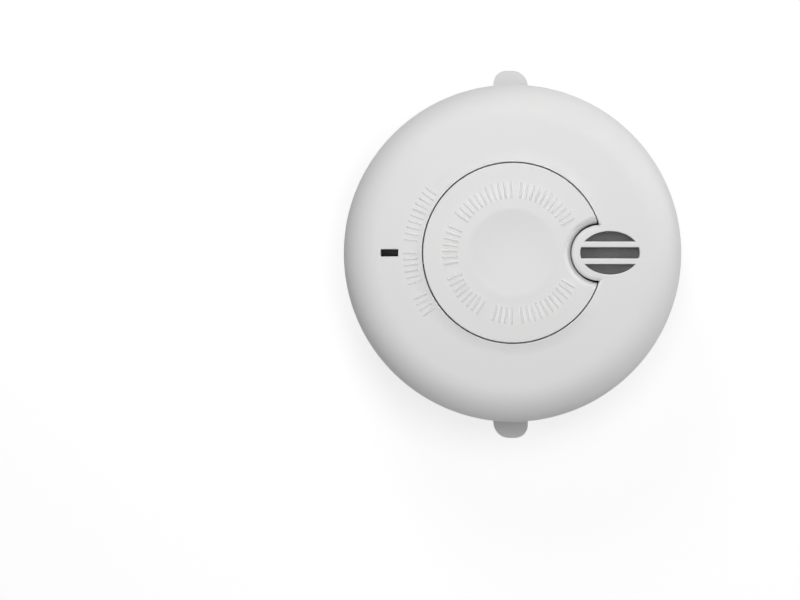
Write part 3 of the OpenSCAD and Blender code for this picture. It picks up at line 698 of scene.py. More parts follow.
@dataclass(frozen=True)
class Ribs:
    """Short raised ribs that point at the axis.

    Attributes:
        inner: Distance of their inner ends from the axis.
        outer: Distance of their outer ends from the axis.
        width: Width of a rib.
        rise: Height of a rib.
        pitch: Angle between two ribs, in degrees.
        groups: First angle and number of ribs of each group.
        ramp: Width of the slope at a rib's edge.
    """

    inner: float
    outer: float
    width: float
    rise: float
    pitch: float
    groups: tuple[tuple[float, int], ...]
    ramp: float = 0.16

    def lines(self) -> list[list[Spot]]:
        """Centre lines of the ribs, each from its inner to its outer end."""
        turns = [math.radians(start + self.pitch * i) for start, count in self.groups for i in range(count)]
        return [[(r * math.cos(t), r * math.sin(t)) for r in (self.inner, self.outer)] for t in turns]

    def distance(self, spots: np.ndarray) -> np.ndarray:
        """Distance of each spot from the nearest rib, negative on it."""
        return EdgeField(self.lines(), closed=False).distance(spots) - self.width / 2

    def lift(self, spots: np.ndarray) -> np.ndarray:
        """How far the ribs raise the face at each spot."""
        return self.rise * smooth(-self.distance(spots) / self.ramp)

    def spots(self) -> np.ndarray:
        """Spots that carry the ribs' form.

        Returns:
            Array of spots, one to a row.
        """
        half, outside, spacing, end_steps, middle_spots = self.width / 2, 0.08, 0.3, 6, 8
        depths = (-outside, 0.0, *(self.ramp * share for share in (0.35, 0.7, 1.0)))
        made = []
        for start, end in self.lines():
            turn = math.atan2(end[1] - start[1], end[0] - start[0])
            head = arc_spots(half, turn - QUARTER, turn + QUARTER, end_steps, end)
            foot = arc_spots(half, turn + QUARTER, turn + 3 * QUARTER, end_steps, start)
            made.append(edge_columns(divided(head + foot, spacing), depths, 1))
            made.append(np.linspace(start, end, middle_spots))
        return np.concatenate(made)


def clear_of(spots: np.ndarray, lines: EdgeField | Ribs, space: float) -> np.ndarray:
    """The spots that lie further than a space from some lines."""
    return spots[lines.distance(spots) > space]


@dataclass(frozen=True)
class Crescent:
    """A disc with a round bite out of its +X side.

    Attributes:
        outer: Radius of the disc.
        bite: Radius of the bite.
        bite_x: Distance of the bite's centre from the axis.
        outer_steps: Steps along the disc's edge.
        bite_steps: Steps along the bite's edge.
    """

    outer: float
    bite: float
    bite_x: float
    outer_steps: int = 260
    bite_steps: int = 64

    def grown(self, by: float) -> "Crescent":
        """The same form, grown all round."""
        return replace(self, outer=self.outer + by, bite=self.bite - by)

    def outline(self) -> list[Spot]:
        """Outline with a corner at each end of the bite.

        Returns:
            The spots of the closed outline.
        """
        outer, bite, bite_x = self.outer, self.bite, self.bite_x
        corner_x = (outer**2 - bite**2 + bite_x**2) / (2 * bite_x)
        corner_y = math.sqrt(outer**2 - corner_x**2)
        turn = math.atan2(corner_y, corner_x)
        bite_turn = math.atan2(corner_y, corner_x - bite_x)
        edge = arc_spots(outer, turn, math.tau - turn, self.outer_steps)
        inlet = arc_spots(bite, math.tau - bite_turn, bite_turn, self.bite_steps, (bite_x, 0.0))
        return edge + inlet[1:-1]

    def inlet(self) -> list[Spot]:
        """The part of the outline that runs round the bite."""
        outline = self.outline()
        return outline[self.outer_steps:] + outline[:1]

    def covers(self, spots: np.ndarray) -> np.ndarray:
        """Says which spots lie on the form."""
        return (from_axis(spots) < self.outer) & (self.from_bite(spots) > self.bite)

    def from_bite(self, spots: np.ndarray) -> np.ndarray:
        """Distance of each spot from the bite's centre."""
        return np.hypot(spots[:, 0] - self.bite_x, spots[:, 1])


# Sub-assemblies


@dataclass(frozen=True)
class Opening:
    """The button's place in the cover, shared by the cover and the button.

    Attributes:
        button_r: Radius of the button.
        gap: Gap round the button.
        notch_r: Radius of the button's notch.
        notch_x: Distance of the notch's centre from the axis.
        tongue_r: Radius of the cover's tongue in the notch.
        tongue_x: Distance of the tongue's centre from the axis.
        collar_h: Height to which the cover climbs towards the button, which is level with it.
        collar_w: Width over which the cover climbs.
        collar_turns: Angles from the tongue between which the climb sets in, in degrees.
    """

    button_r: float = 29.82
    gap: float = 0.42
    notch_r: float = 9.92
    notch_x: float = 29.19
    tongue_r: float = 9.26
    tongue_x: float = 28.71
    collar_h: float = 0.8
    collar_w: float = 4.5
    collar_turns: tuple[float, float] = (20.0, 45.0)

    @property
    def button(self) -> Crescent:
        """Form of the button with its notch."""
        return Crescent(self.button_r, self.notch_r, self.notch_x)

    @property
    def mouth(self) -> Crescent:
        """Form of the hole in the cover, with the tongue that reaches into the notch."""
        return Crescent(self.button_r + self.gap, self.tongue_r, self.tongue_x)

    def collar(self, spots: np.ndarray) -> np.ndarray:
        """How far the cover climbs towards the button, away from the tongue.

        Args:
            spots: Array of spots, one to a row.

        Returns:
            One height for each spot.
        """
        from_edge = from_axis(spots) - self.button_r - self.gap
        climb = np.clip(1 - from_edge / self.collar_w, 0.0, 1.0)
        turn = np.degrees(np.abs(np.arctan2(spots[:, 1], spots[:, 0])))
        start, end = self.collar_turns
        return self.collar_h * climb**2 * smooth((turn - start) / (end - start))


@dataclass
class Grille:
    """Oval sound grille: three slots with two bars between them.

    Attributes:
        centre_x: Distance of its centre from the axis.
        half_x: Half its width.
        half_y: Half its height.
        slot: Height of the middle slot.
        bar: Width of a bar.
        steps: Steps along the curved end of a slot.
        ring_steps: Steps round the whole oval.
        longest: Longest side in the outline of a slot, or of the window beside it.
    """

    centre_x: float = 32.2
    half_x: float = 9.9
    half_y: float = 7.2
    slot: float = 3.7
    bar: float = 1.9
    steps: int = 40
    ring_steps: int = 96
    longest: float = 0.6

    def slots(self) -> list[list[Spot]]:
        """Outlines of the three slots, from the lowest up.

        Returns:
            Three closed outlines that run anticlockwise.
        """
        low, high = (math.asin(y / self.half_y) for y in (self.slot / 2, self.slot / 2 + self.bar))
        third = self.steps // 3
        middle = self._arc(-low, low, third) + self._arc(math.pi - low, math.pi + low, third)
        upper = self._arc(high, math.pi - high, self.steps)
        lower = self._arc(math.pi + high, math.tau - high, self.steps)
        return [divided(outline, self.longest) for outline in (lower, middle, upper)]

    def covers(self, spots: np.ndarray) -> np.ndarray:
        """Says which spots lie in a slot.

        Args:
            spots: Array of spots, one to a row.

        Returns:
            One truth value for each spot.
        """
        across = (spots[:, 0] - self.centre_x) / self.half_x
        up = spots[:, 1] / self.half_y
        from_middle = np.abs(spots[:, 1])
        open_rows = (from_middle < self.slot / 2) | (from_middle > self.slot / 2 + self.bar)
        return (across**2 + up**2 < 1.0) & open_rows

    def ring(self, grow: float) -> list[Spot]:
        """Outline of the oval, grown all round."""
        return self._arc(0.0, math.tau, self.ring_steps, grow)[:-1]

    def _arc(self, start: float, end: float, steps: int, grow: float = 0.0) -> list[Spot]:
        """Spots along part of the oval, grown all round."""
        half_x, half_y = self.half_x + grow, self.half_y + grow
        return [(self.centre_x + half_x * x, half_y * y) for x, y in arc_spots(1.0, start, end, steps)]


@dataclass
class LightWindow:
    """Small window of the status light, and the smoked light pipe in it.

    Attributes:
        centre_x: Place of its centre.
        length: Length of the window.
        width: Width of the window.
        corner: Radius of its corners.
        corner_steps: Steps along a corner.
        gap: Gap round the light pipe.
        tip_corner: Radius of the corners at the pipe's end.
        edge_r: Radius of the pipe's end edge.
        flange: Width of the pipe's flange.
        flange_t: Thickness of the pipe's flange.
        bevel: Bevel of the flange's edges.
    """

    centre_x: float = -41.0
    length: float = 5.8
    width: float = 2.4
    corner: float = 0.2
    corner_steps: int = 4
    gap: float = 0.1
    tip_corner: float = 0.18
    edge_r: float = 0.18
    flange: float = 1.0
    flange_t: float = 1.2
    bevel: float = 0.15

    def outline(self, grow: float, corner: float | None = None) -> list[Spot]:
        """Outline of the window, grown all round.

        Args:
            grow: How far to grow it.
            corner: Radius of the corners, or the window's own.

        Returns:
            The spots of the closed outline.
        """
        radius = self.corner if corner is None else corner
        reach_x, reach_y = ((size + 2 * grow) / 2 - radius for size in (self.length, self.width))
        made: list[Spot] = []
        for quarter, (side_x, side_y) in enumerate(((1, 1), (-1, 1), (-1, -1), (1, -1))):
            middle = (self.centre_x + side_x * reach_x, side_y * reach_y)
            made += arc_spots(radius, quarter * QUARTER, (quarter + 1) * QUARTER, self.corner_steps, middle)
        return made

    def covers(self, spots: np.ndarray) -> np.ndarray:
        """Says which spots lie in the window."""
        inside_x = np.abs(spots[:, 0] - self.centre_x) < self.length / 2
        return inside_x & (np.abs(spots[:, 1]) < self.width / 2)

    def build_pipe(self, palette: Palette) -> Piece:
        """Draws the light pipe with a rounded end and a flange.

        Args:
            palette: The made finishes.

        Returns:
            The finished piece.
        """
        edge_spots = 4
        low, high = box_of("light_pipe")
        draft = Draft()
        loops = [draft.loop(self.outline(-self.gap), low.z)]
        for turn in np.linspace(0.0, QUARTER, edge_spots):
            inset = self.edge_r * (1 - math.cos(turn))
            z = high.z - self.edge_r * (1 - math.sin(turn))
            loops.append(draft.loop(self.outline(-self.gap - inset, self.tip_corner), z))
        draft.solid(*loops)
        seat, bevel = self._flange_top(), self.bevel
        section = ((bevel, self.flange_t), (0.0, self.flange_t - bevel), (0.0, bevel), (bevel, 0.0))
        draft.solid(*(
            draft.loop(self.outline(self.flange - self.gap - inset), seat - drop) for inset, drop in section
        ))
        return draft.piece("light_pipe_lens", Body.HEAD, "smoked_plastic", palette, "light_pipe")

    @staticmethod
    def _flange_top() -> float:
        """Height of the flange's upper face, just under the cover's sleeve.

        Returns:
            The height of the widest part's top.
        """
        slack = 0.01 * MM
        spots = [v.co for v in frame["nodes"]["light_pipe"].data.vertices]
        widest = max(v.y for v in spots)
        return max(v.z for v in spots if v.y > widest - slack) / MM


@dataclass
class FrontCover:
    """Domed cover with the button's opening, the grille, the light window and its inner parts.

    Attributes:
        dome: Outer form.
        opening: The button's place.
        grille: The sound grille.
        window: The status light's window.
        ribs: Raised ribs between the window and the button.
        wall: Thickness of the wall.
        edge_r: Radius of the edges in the face.
        tongue_edge: Radius of the edge along the button's notch.
        tongue_start: Distance from the axis from which the tongue's face is drawn.
        rim_edge: Radius of the rim's edges.
        guide_wall: Wall of the guide round the button.
        guide_foot: Height of the guide's foot.
        tower_angles: Directions of the screw towers, in degrees.
        segments: Segments round the shoulder.
        shoulder_steps: Steps down the shoulder.
        plain_step: Space between spots of the plain face.
        fine_step: Space between spots next to the button.
    """

    dome: Dome
    opening: Opening
    grille: Grille
    window: LightWindow
    ribs: Ribs
    wall: float = 2.2
    edge_r: float = 0.25
    tongue_edge: float = 1.6
    tongue_start: float = 20.0
    rim_edge: float = 0.6
    guide_wall: float = 2.0
    guide_foot: float = 41.0
    tower_angles: tuple[float, ...] = (45.0, 135.0, 225.0, 315.0)
    segments: int = 240
    shoulder_steps: int = 22
    plain_step: float = 1.5
    fine_step: float = 0.7

    def __post_init__(self) -> None:
        """Lays out the holes in the face and the distances to their edges."""
        window = divided(self.window.outline(0.0), self.grille.longest)
        self.holes = [self.opening.mouth.outline(), *self.grille.slots(), window]
        self.edges = EdgeField(self.holes)
        self.tongue = EdgeField([self.opening.mouth.inlet()], closed=False)

    def build(self, palette: Palette) -> Piece:
        """Draws the cover.

        Args:
            palette: The made finishes.

        Returns:
            The finished piece.
        """
        draft = Draft()
        tops = [draft.loop(hole, self._face) for hole in self.holes]
        outer = draft.loop(ring_spots(self.dome.crown_end(), self.segments), self.dome.height)
        draft.panel([outer, *tops], self._loose(), self._keep, self._face)
        inner = draft.loop(ring_spots(self.dome.crown_end(self.wall), self.segments), self._lining)
        self._flank(draft, outer, inner)
        self._inside(draft, inner, tops)
        self._duct(draft)
        self._sleeve(draft)
        self._towers(draft)
        return draft.piece("front_cover_shell", Body.HEAD, "white_plastic", palette, "front_cover")

    def _face(self, spots: np.ndarray) -> np.ndarray:
        """Height of the face with its rounded edges, the climb to the button and the raised ribs.

        Args:
            spots: Array of spots, one to a row.

        Returns:
            One height for each spot.
        """
        edge = fillet_drop(self.edges.distance(spots), self.edge_r)
        roll = fillet_drop(self.tongue.distance(spots), self.tongue_edge)
        raised = self.opening.collar(spots) + self.ribs.lift(spots)
        return self.dome.height(spots) - np.maximum(edge, roll) + raised

    def _lining(self, spots: np.ndarray) -> np.ndarray:
        """Height of the inner face over each spot."""
        return self.dome.height(spots, self.wall)

    def _keep(self, spots: np.ndarray, grow: float = 0.0) -> np.ndarray:
        """Says which spots belong to the face, clear of the holes and the grown opening."""
        mouth = self.opening.mouth.grown(grow)
        return ~(mouth.covers(spots) | self.grille.covers(spots) | self.window.covers(spots))

    def _loose(self) -> np.ndarray:
        """Spots that carry the form of the face.

        Returns:
            Array of spots, one to a row.
        """
        roll_steps = 8
        depths, roll_depths = edge_depths(self.edge_r), edge_depths(self.tongue_edge, roll_steps)
        columns = np.concatenate([edge_columns(hole, depths, -1) for hole in self.holes])
        edge = clear_of(seated(columns, depths, self.edges), self.tongue, self.tongue_edge + APART)
        roll = seated(edge_columns(self.holes[0], roll_depths, -1), roll_depths, self.edges)
        roll = roll[self.tongue.distance(roll) < self.tongue_edge + FOLLOWED]
        mouth, rim = self.opening.mouth.outer, self.dome.crown_end()
        collar_end = mouth + self.opening.collar_w
        bands = (
            (self.tongue_start, mouth, self.plain_step),
            (mouth + RIM_CLEAR, collar_end + APART, self.fine_step),
            (collar_end + self.plain_step, rim - RIM_CLEAR, self.plain_step),
        )
        grid = np.concatenate([polar_grid(*band) for band in bands])
        grid = clear_of(grid, self.edges, self.edge_r + EDGE_CLEAR)
        grid = clear_of(grid, self.ribs, RIB_CLEAR)
        grid = clear_of(grid, self.tongue, self.tongue_edge + ROLL_CLEAR)
        ribs = clear_of(self.ribs.spots(), self.edges, self.edge_r + APART)
        loose = np.concatenate((edge, roll, grid, ribs))
        return loose[self._keep(loose) & (from_axis(loose) < rim - APART)]

    def _flank(self, draft: Draft, outer: list[int], inner: list[int]) -> None:
        """Draws the shoulder, the side, the rounded rim and the inner wall.

        Args:
            draft: The draft to draw in.
            outer: Ring where the outer crown ends.
            inner: Ring where the inner crown ends.
        """
        dome, edge, steps = self.dome, self.rim_edge, 5
        foot_out = dome.side_r(dome.rim_z, 0.0) - edge
        foot_in = dome.side_r(dome.rim_z, self.wall) + edge
        section = dome.flank(0.0, self.shoulder_steps)[1:]
        section += arc_spots(edge, 0.0, -QUARTER, steps, (foot_out, dome.rim_z + edge))
        section += arc_spots(edge, -QUARTER, -math.pi, steps, (foot_in, dome.rim_z + edge))
        section += dome.flank(self.wall, self.shoulder_steps)[:0:-1]
        loops = [draft.loop(ring_spots(r, self.segments), z) for r, z in section]
        draft.bridge(outer, *loops, inner)

    def _inside(self, draft: Draft, ring: list[int], tops: list[list[int]]) -> None:
        """Draws the inner face, the walls of the holes and the button's guide.

        Args:
            draft: The draft to draw in.
            ring: Ring where the inner crown ends.
            tops: The holes' loops in the outer face, the button's first.
        """
        start, clear, rim_clear, step = 33.5, 0.8, 1.5, 3.0
        guide = self.opening.mouth.grown(self.guide_wall).outline()
        foot = draft.loop(self.holes[0], self.guide_foot)
        foot_out = draft.loop(guide, self.guide_foot)
        guide_top = draft.loop(guide, self._lining)
        draft.bridge(tops[0], foot, foot_out, guide_top)
        loops = [ring, guide_top]
        for hole, top in zip(self.holes[1:], tops[1:]):
            low = draft.loop(hole, self._lining)
            draft.bridge(top, low)
            loops.append(low)
        grid = polar_grid(start, self.dome.crown_end(self.wall) - rim_clear, step)
        grid = clear_of(grid, EdgeField([guide, *self.holes[1:]]), clear)
        grid = grid[self._keep(grid, self.guide_wall)]
        draft.panel(loops, grid, lambda spots: self._keep(spots, self.guide_wall), self._lining)

    def _duct(self, draft: Draft) -> None:
        """Draws the sound duct behind the grille, with the step that seats the screen.

        Args:
            draft: The draft to draw in.
        """
        bury, slack, step, wall = 0.4, 0.04, 0.8, 1.9
        roof = self.dome.height_at(self.grille.centre_x, self.wall) + bury
        seat, foot = (box_of(node)[1].z for node in ("sound_screen", "horn_gasket"))
        section = ((slack, roof), (slack, seat), (step, seat), (step, foot), (wall, foot), (wall, roof))
        draft.sleeve(self.grille.ring, section)

    def _sleeve(self, draft: Draft) -> None:
        """Draws the sleeve that holds the light pipe.

        Args:
            draft: The draft to draw in.
        """
        bury, slack, wall, depth = 0.3, 0.02, 1.2, 3.4
        lining = self.dome.height_at(self.window.centre_x, self.wall)
        roof, foot = lining + bury, lining - depth
        draft.sleeve(self.window.outline, ((slack, roof), (slack, foot), (wall, foot), (wall, roof)))

    def _towers(self, draft: Draft) -> None:
        """Draws the towers that the case screws grip.

        Args:
            draft: The draft to draw in.
        """
        reach, bore, outer, roof, slack = 44.5, 1.5, 4.0, 46.7, 1.0
        tip, foot = box_of("case_screws")[1].z + slack, box_of("circuit_board")[1].z
        section = ((AXIS_R, tip), (bore, tip), (bore, foot), (outer, foot), (outer, roof), (AXIS_R, roof))
        for turn in map(math.radians, self.tower_angles):
            draft.turned(section, (reach * math.cos(turn), reach * math.sin(turn)))


@dataclass
class TestButton:
    """Large press-to-test button: dished finger rest, raised ribs, rolled notch, skirt and legs.

    Attributes:
        dome: Form of the head, which the button's face follows.
        opening: The button's place.
        ribs: Raised ribs round the finger rest.
        dish_r: Radius of the finger rest.
        dish_depth: Depth of the finger rest.
        lip: Height of the soft lip round the finger rest.
        lip_width: Reach of the lip to either side of its crest.
        lip_out: How far outside the finger rest the lip's crest lies.
        edge_r: Radius of the outer edge.
        roll_w: Width of the rolled edge along the notch.
        roll_d: Depth of the rolled edge along the notch.
        skirt_wall: Wall of the skirt.
        skirt_foot: Height of the skirt's foot.
        under: Height of the underside.
        leg_angles: Directions of the legs, in degrees.
        leg_half: Half the angle that a leg takes up, in degrees.
        leg_foot: Height of the legs' feet.
        catch_h: Height of the catch on each leg.
        catch_reach: How far a catch reaches past the button's edge.
    """

    dome: Dome
    opening: Opening
    ribs: Ribs
    dish_r: float = 14.4
    dish_depth: float = 1.8
    lip: float = 0.06
    lip_width: float = 1.8
    lip_out: float = 0.4
    edge_r: float = 0.3
    roll_w: float = 2.6
    roll_d: float = 5.6
    skirt_wall: float = 1.8
    skirt_foot: float = 42.6
    under: float = 46.62
    leg_angles: tuple[float, ...] = (60.0, 180.0, 300.0)
    leg_half: float = 7.0
    leg_foot: float = 39.43
    catch_h: float = 1.5
    catch_reach: float = 1.7

    def build(self, palette: Palette) -> Piece:
        """Draws the button.

        Args:
            palette: The made finishes.

        Returns:
            The finished piece.
        """
        clear, step = 1.0, 4.0
        draft = Draft()
        button = self.opening.button
        skirt = button.grown(-self.skirt_wall)
        top = draft.loop(button.outline(), self._face)
        draft.panel([top], self._loose(), button.covers, self._face)
        foot = draft.loop(button.outline(), self.skirt_foot)
        foot_in = draft.loop(skirt.outline(), self.skirt_foot)
        under = draft.loop(skirt.outline(), self.under)
        draft.bridge(top, foot, foot_in, under)
        grid = clear_of(polar_grid(0.0, skirt.outer - clear, step), EdgeField([skirt.outline()]), clear)
        grid = grid[skirt.covers(grid)]
        draft.panel([under], grid, skirt.covers, lambda spots: np.full(len(spots), self.under))
        self._post(draft)
        self._legs(draft)
        return draft.piece("test_button_cap", Body.BUTTON, "white_plastic", palette, "test_button")

    def _face(self, spots: np.ndarray) -> np.ndarray:
        """Height of the button's face.

        Args:
            spots: Array of spots, one to a row.

        Returns:
            One height for each spot.
        """
        button, away = self.opening.button, from_axis(spots)
        edge = fillet_drop(button.outer - away, self.edge_r)
        roll = fillet_drop(button.from_bite(spots) - button.bite, self.roll_w)
        inside = np.clip(1 - (away / self.dish_r) ** 2, 0.0, 1.0)
        swell = self.lip * smooth(1 - np.abs(away - self.dish_r - self.lip_out) / self.lip_width)
        face = self.dome.height(spots) + self.opening.collar_h - edge - roll * self.roll_d / self.roll_w
        return face - self.dish_depth * inside + swell + self.ribs.lift(spots)

    def _loose(self) -> np.ndarray:
        """Spots that carry the form of the face.

        Returns:
            Array of spots, one to a row.
        """
        fine_step, plain_step, plain_start, roll_steps = 0.7, 1.1, 1.6, 10
        button = self.opening.button
        outline, depths = button.outline(), edge_depths(self.edge_r)
        edge = seated(edge_columns(outline, depths, 1), depths, EdgeField([outline]))
        edge = edge[button.from_bite(edge) > button.bite + TOUCH]
        edge = edge[from_axis(edge) > button.outer - self.edge_r - APART]
        notch = np.array(button.inlet())
        away = unit(notch - (button.bite_x, 0.0))
        roll = np.concatenate([notch + depth * away for depth in edge_depths(self.roll_w, roll_steps)])
        roll = roll[from_axis(roll) < button.outer - self.edge_r - TOUCH]
        lip_end = self.dish_r + self.lip_width
        dish = polar_grid(0.0, lip_end + ROLL_CLEAR, fine_step)
        grid = polar_grid(lip_end + plain_start, button.outer - RIM_CLEAR, plain_step)
        plain = clear_of(np.concatenate((dish, grid)), self.ribs, RIB_CLEAR)
        flat = np.concatenate((plain, self.ribs.spots()))
        flat = flat[button.from_bite(flat) > button.bite + self.roll_w + BEYOND]
        return np.concatenate((edge, roll, flat))

    def _post(self, draft: Draft) -> None:
        """Draws the post that works the test switch.

        Args:
            draft: The draft to draw in.
        """
        slack, bury, radius, bevel = 0.1, 0.3, 3.0, 0.3
        foot, roof = box_of("test_switch_plunger")[1].z + slack, self.under + bury
        tip = ((AXIS_R, foot), (radius - bevel, foot), (radius, foot + bevel))
        draft.turned((*tip, (radius, roof), (AXIS_R, roof)))

    def _legs(self, draft: Draft) -> None:
        """Draws the legs, each with a catch that hooks under the cover's guide.

        Args:
            draft: The draft to draw in.
        """
        bury, steps, half = 0.2, 6, math.radians(self.leg_half)
        edge = self.opening.button_r
        inner = edge - self.skirt_wall + bury
        stem = (edge - bury, self.skirt_foot + bury)
        catch = (edge + self.catch_reach, self.leg_foot + self.catch_h)
        for turn in map(math.radians, self.leg_angles):
            for outer, roof in (stem, catch):
                sector = arc_spots(outer, turn - half, turn + half, steps)
                sector += arc_spots(inner, turn + half, turn - half, steps)
                draft.solid(draft.loop(sector, self.leg_foot), draft.loop(sector, roof))


@dataclass
class SoundScreen:
    """Woven screen behind the grille, bound by a flat rim.

    Attributes:
        grille: The grille that it closes.
        pitch: Space between two wires.
        wire_r: Radius of a wire.
        sides: Sides of a wire.
        wave: How far a wire swings up and down, as a share of its radius.
        grow: How far the screen reaches past the oval.
        rim: Width of the bound rim.
    """

    grille: Grille
    pitch: float = 0.36
    wire_r: float = 0.14
    sides: int = 4
    wave: float = 0.8
    grow: float = 0.7
    rim: float = 0.5

    def build(self, palette: Palette) -> Piece:
        """Draws the woven wires and the rim.

        Args:
            palette: The made finishes.

        Returns:
            The finished piece.
        """
        low, high = box_of("sound_screen")
        middle = (low.z + high.z) / 2
        draft = Draft()
        halves = (self.grille.half_x, self.grille.half_y)
        reach_x, reach_y = (half + self.grow - self.rim / 2 for half in halves)
        for along_x in (True, False):
            run, rise = (reach_x, reach_y) if along_x else (reach_y, reach_x)
            rows = int(rise / self.pitch)
            for row in range(-rows, rows + 1):
                offset = row * self.pitch
                half = run * math.sqrt(max(0.0, 1 - (offset / rise) ** 2))
                if half > self.pitch:
                    draft.tube(self._wire(offset, half, row, along_x, middle), self.wire_r, self.sides)
        inner = self.grow - self.rim
        section = ((self.grow, low.z), (self.grow, high.z), (inner, high.z), (inner, low.z))
        draft.sleeve(self.grille.ring, section)
        return draft.piece("sound_screen_weave", Body.HEAD, "screen_cloth", palette, "sound_screen")

    def _wire(self, offset: float, half: float, row: int, along_x: bool, middle: float) -> np.ndarray:
        """Path of one wire, over and under its neighbours.

        Args:
            offset: Distance of the wire from the oval's centre line.
            half: Half its length.
            row: Number of the wire, which sets whether it starts over or under.
            along_x: Whether it runs along X.
            middle: Height of the weave.

        Returns:
            Points along the wire, one to a row.
        """
        steps = np.arange(-half, half + SAME, self.pitch / 2)
        phase = math.pi * (row + (0 if along_x else 1))
        height = middle + self.wire_r * self.wave * np.cos(math.pi * steps / self.pitch + phase)
        across = np.full_like(steps, offset)
        x, y = (steps, across) if along_x else (across, steps)
        return np.column_stack((self.grille.centre_x + x, y, height))


@dataclass
class CoilSpring:
    """Coil spring with closed ends, between the head and a piece that slides in it.

    Attributes:
        node: Construction node that it stands for.
        slider: Body that one of its ends would follow, kept in the stretch that it hands on.
        wire: Thickness of the wire.
        turns: Number of turns.
        lower_moves: Whether the lower end is the one that would follow the slider, or else the upper.
        closed_pitch: Climb of the closed turn at each end, in wires.
        rings: Steps in a turn.
        sides: Sides of the wire.
    """

    node: str
    slider: Body
    wire: float
    turns: int
    lower_moves: bool = False
    closed_pitch: float = 1.06
    rings: int = 32
    sides: int = 10

    def build(self, palette: Palette) -> Piece:
        """Draws the spring.

        Args:
            palette: The made finishes.

        Returns:
            The finished piece.
        """
        low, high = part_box(self.node)
        centre = (low + high) / 2 / MM
        radius = (high.x - low.x) / MM / 2 - self.wire / 2
        turn = np.linspace(0.0, self.turns, self.turns * self.rings + 1)
        foot, top = low.z / MM + self.wire / 2, high.z / MM - self.wire / 2
        closed = self.closed_pitch * self.wire
        height = np.interp(turn, (0, 1, self.turns - 1, self.turns), (foot, foot + closed, top - closed, top))
        x, y = centre.x + radius * np.cos(math.tau * turn), centre.y + radius * np.sin(math.tau * turn)
        draft = Draft()
        draft.tube(np.column_stack((x, y, height)), self.wire / 2, self.sides)
        fixed, moving = Vector((0.0, 0.0, low.z)), Vector((0.0, 0.0, high.z))
        if self.lower_moves:
            fixed, moving = moving, fixed
        stretch = Stretch(self.slider, fixed, moving)
        return draft.piece(f"{self.node}_coil", Body.HEAD, "spring_steel", palette, self.node, stretch)


@dataclass
class Housing:
    """Pieces that keep their construction shape: softened edges where they show, and a finish for each.

    Attributes:
        softened: Nodes that show, with the radius of their edges.
        weld: Distance within which points are joined.
        flat: Angle up to which faces count as one flat face, in degrees.
        sharp: Angle from which an edge is rounded, in degrees.
        steps: Steps along a rounded edge.
    """

    softened: tuple[tuple[str, float], ...] = (("rear_case", 0.25), ("mounting_plate", 0.3))
    weld: float = 0.001
    flat: float = 0.8
    sharp: float = 35.0
    steps: int = 2

    def dress(self, palette: Palette) -> None:
        """Finishes every construction node that still shows.

        Args:
            palette: The made finishes.
        """
        slots = {part["node"]: part["material_slot"] for part in frame["record"]["subparts"]}
        for name, node in frame["nodes"].items():
            if node.hide_render:
                continue
            palette.dress(node, slots[name])
            LOG.info("%s: %s", name, slots[name])
        for name, radius in self.softened:
            self._soften(frame["nodes"][name], radius)

    def _soften(self, node: Piece, radius: float) -> None:
        """Rounds the sharp edges of a node with modifiers.

        Args:
            node: The construction node.
            radius: Radius of the edges, in millimetres.
        """
        weld = node.modifiers.new("weld", "WELD")
        weld.merge_threshold = self.weld * MM
        flat = node.modifiers.new("flat", "DECIMATE")
        flat.decimate_type = "DISSOLVE"
        flat.angle_limit = math.radians(self.flat)
        edge = node.modifiers.new("edge", "BEVEL")
        edge.width = radius * MM
        edge.segments = self.steps
        edge.limit_method = "ANGLE"
        edge.angle_limit = math.radians(self.sharp)
        edge.harden_normals = True


# Studio


@dataclass(frozen=True)
class Lamp:
    """A soft lamp that points at the object from a distance.

    Attributes:
        name: Name of the lamp.
        azimuth: Its direction round the axis, in degrees from +X.
        elevation: Its height above the mounting face, in degrees.
        watts: Its brightness.
        height: Upright size of its face.
        width: Level size of its face.
        reach: Its distance.
    """

    name: str
    azimuth: float
    elevation: float
    watts: float
    height: float = 480.0
    width: float = 480.0
    reach: float = 1200.0

    def hang(self) -> None:
        """Hangs the lamp in its place."""
        data = bpy.data.lights.new(self.name, "AREA")
        data.energy = self.watts
        data.shape = "RECTANGLE"
        data.size = self.width * MM
        data.size_y = self.height * MM
        lamp = bpy.data.objects.new(self.name, data)
        turn, rise = math.radians(self.azimuth), math.radians(self.elevation)
        flat = math.cos(rise)
        place = Vector((flat * math.cos(turn), flat * math.sin(turn), math.sin(rise)))
        lamp.location = place * self.reach * MM
        lamp.rotation_mode = "QUATERNION"
        lamp.rotation_quaternion = (-lamp.location).to_track_quat("-Z", "Y")
        bpy.context.scene.collection.objects.link(lamp)


def seen_rays(tree: Tree) -> Socket:
    """Adds nodes that tell rays that show a surface from rays that only light others.

    Args:
        tree: Node tree to add them to.

    Returns:
        A socket that is 1 for a ray from the camera, a mirror or glass.
    """
    path = add_node(tree, "LightPath")
    total = path.outputs["Is Camera Ray"]
    for kind in ("Is Glossy Ray", "Is Transmission Ray"):
        either = add_node(tree, "Math")
        either.operation = "MAXIMUM"
        join(tree, (total, either.inputs[0]), (path.outputs[kind], either.inputs[1]))
        total = either.outputs[0]
    return total


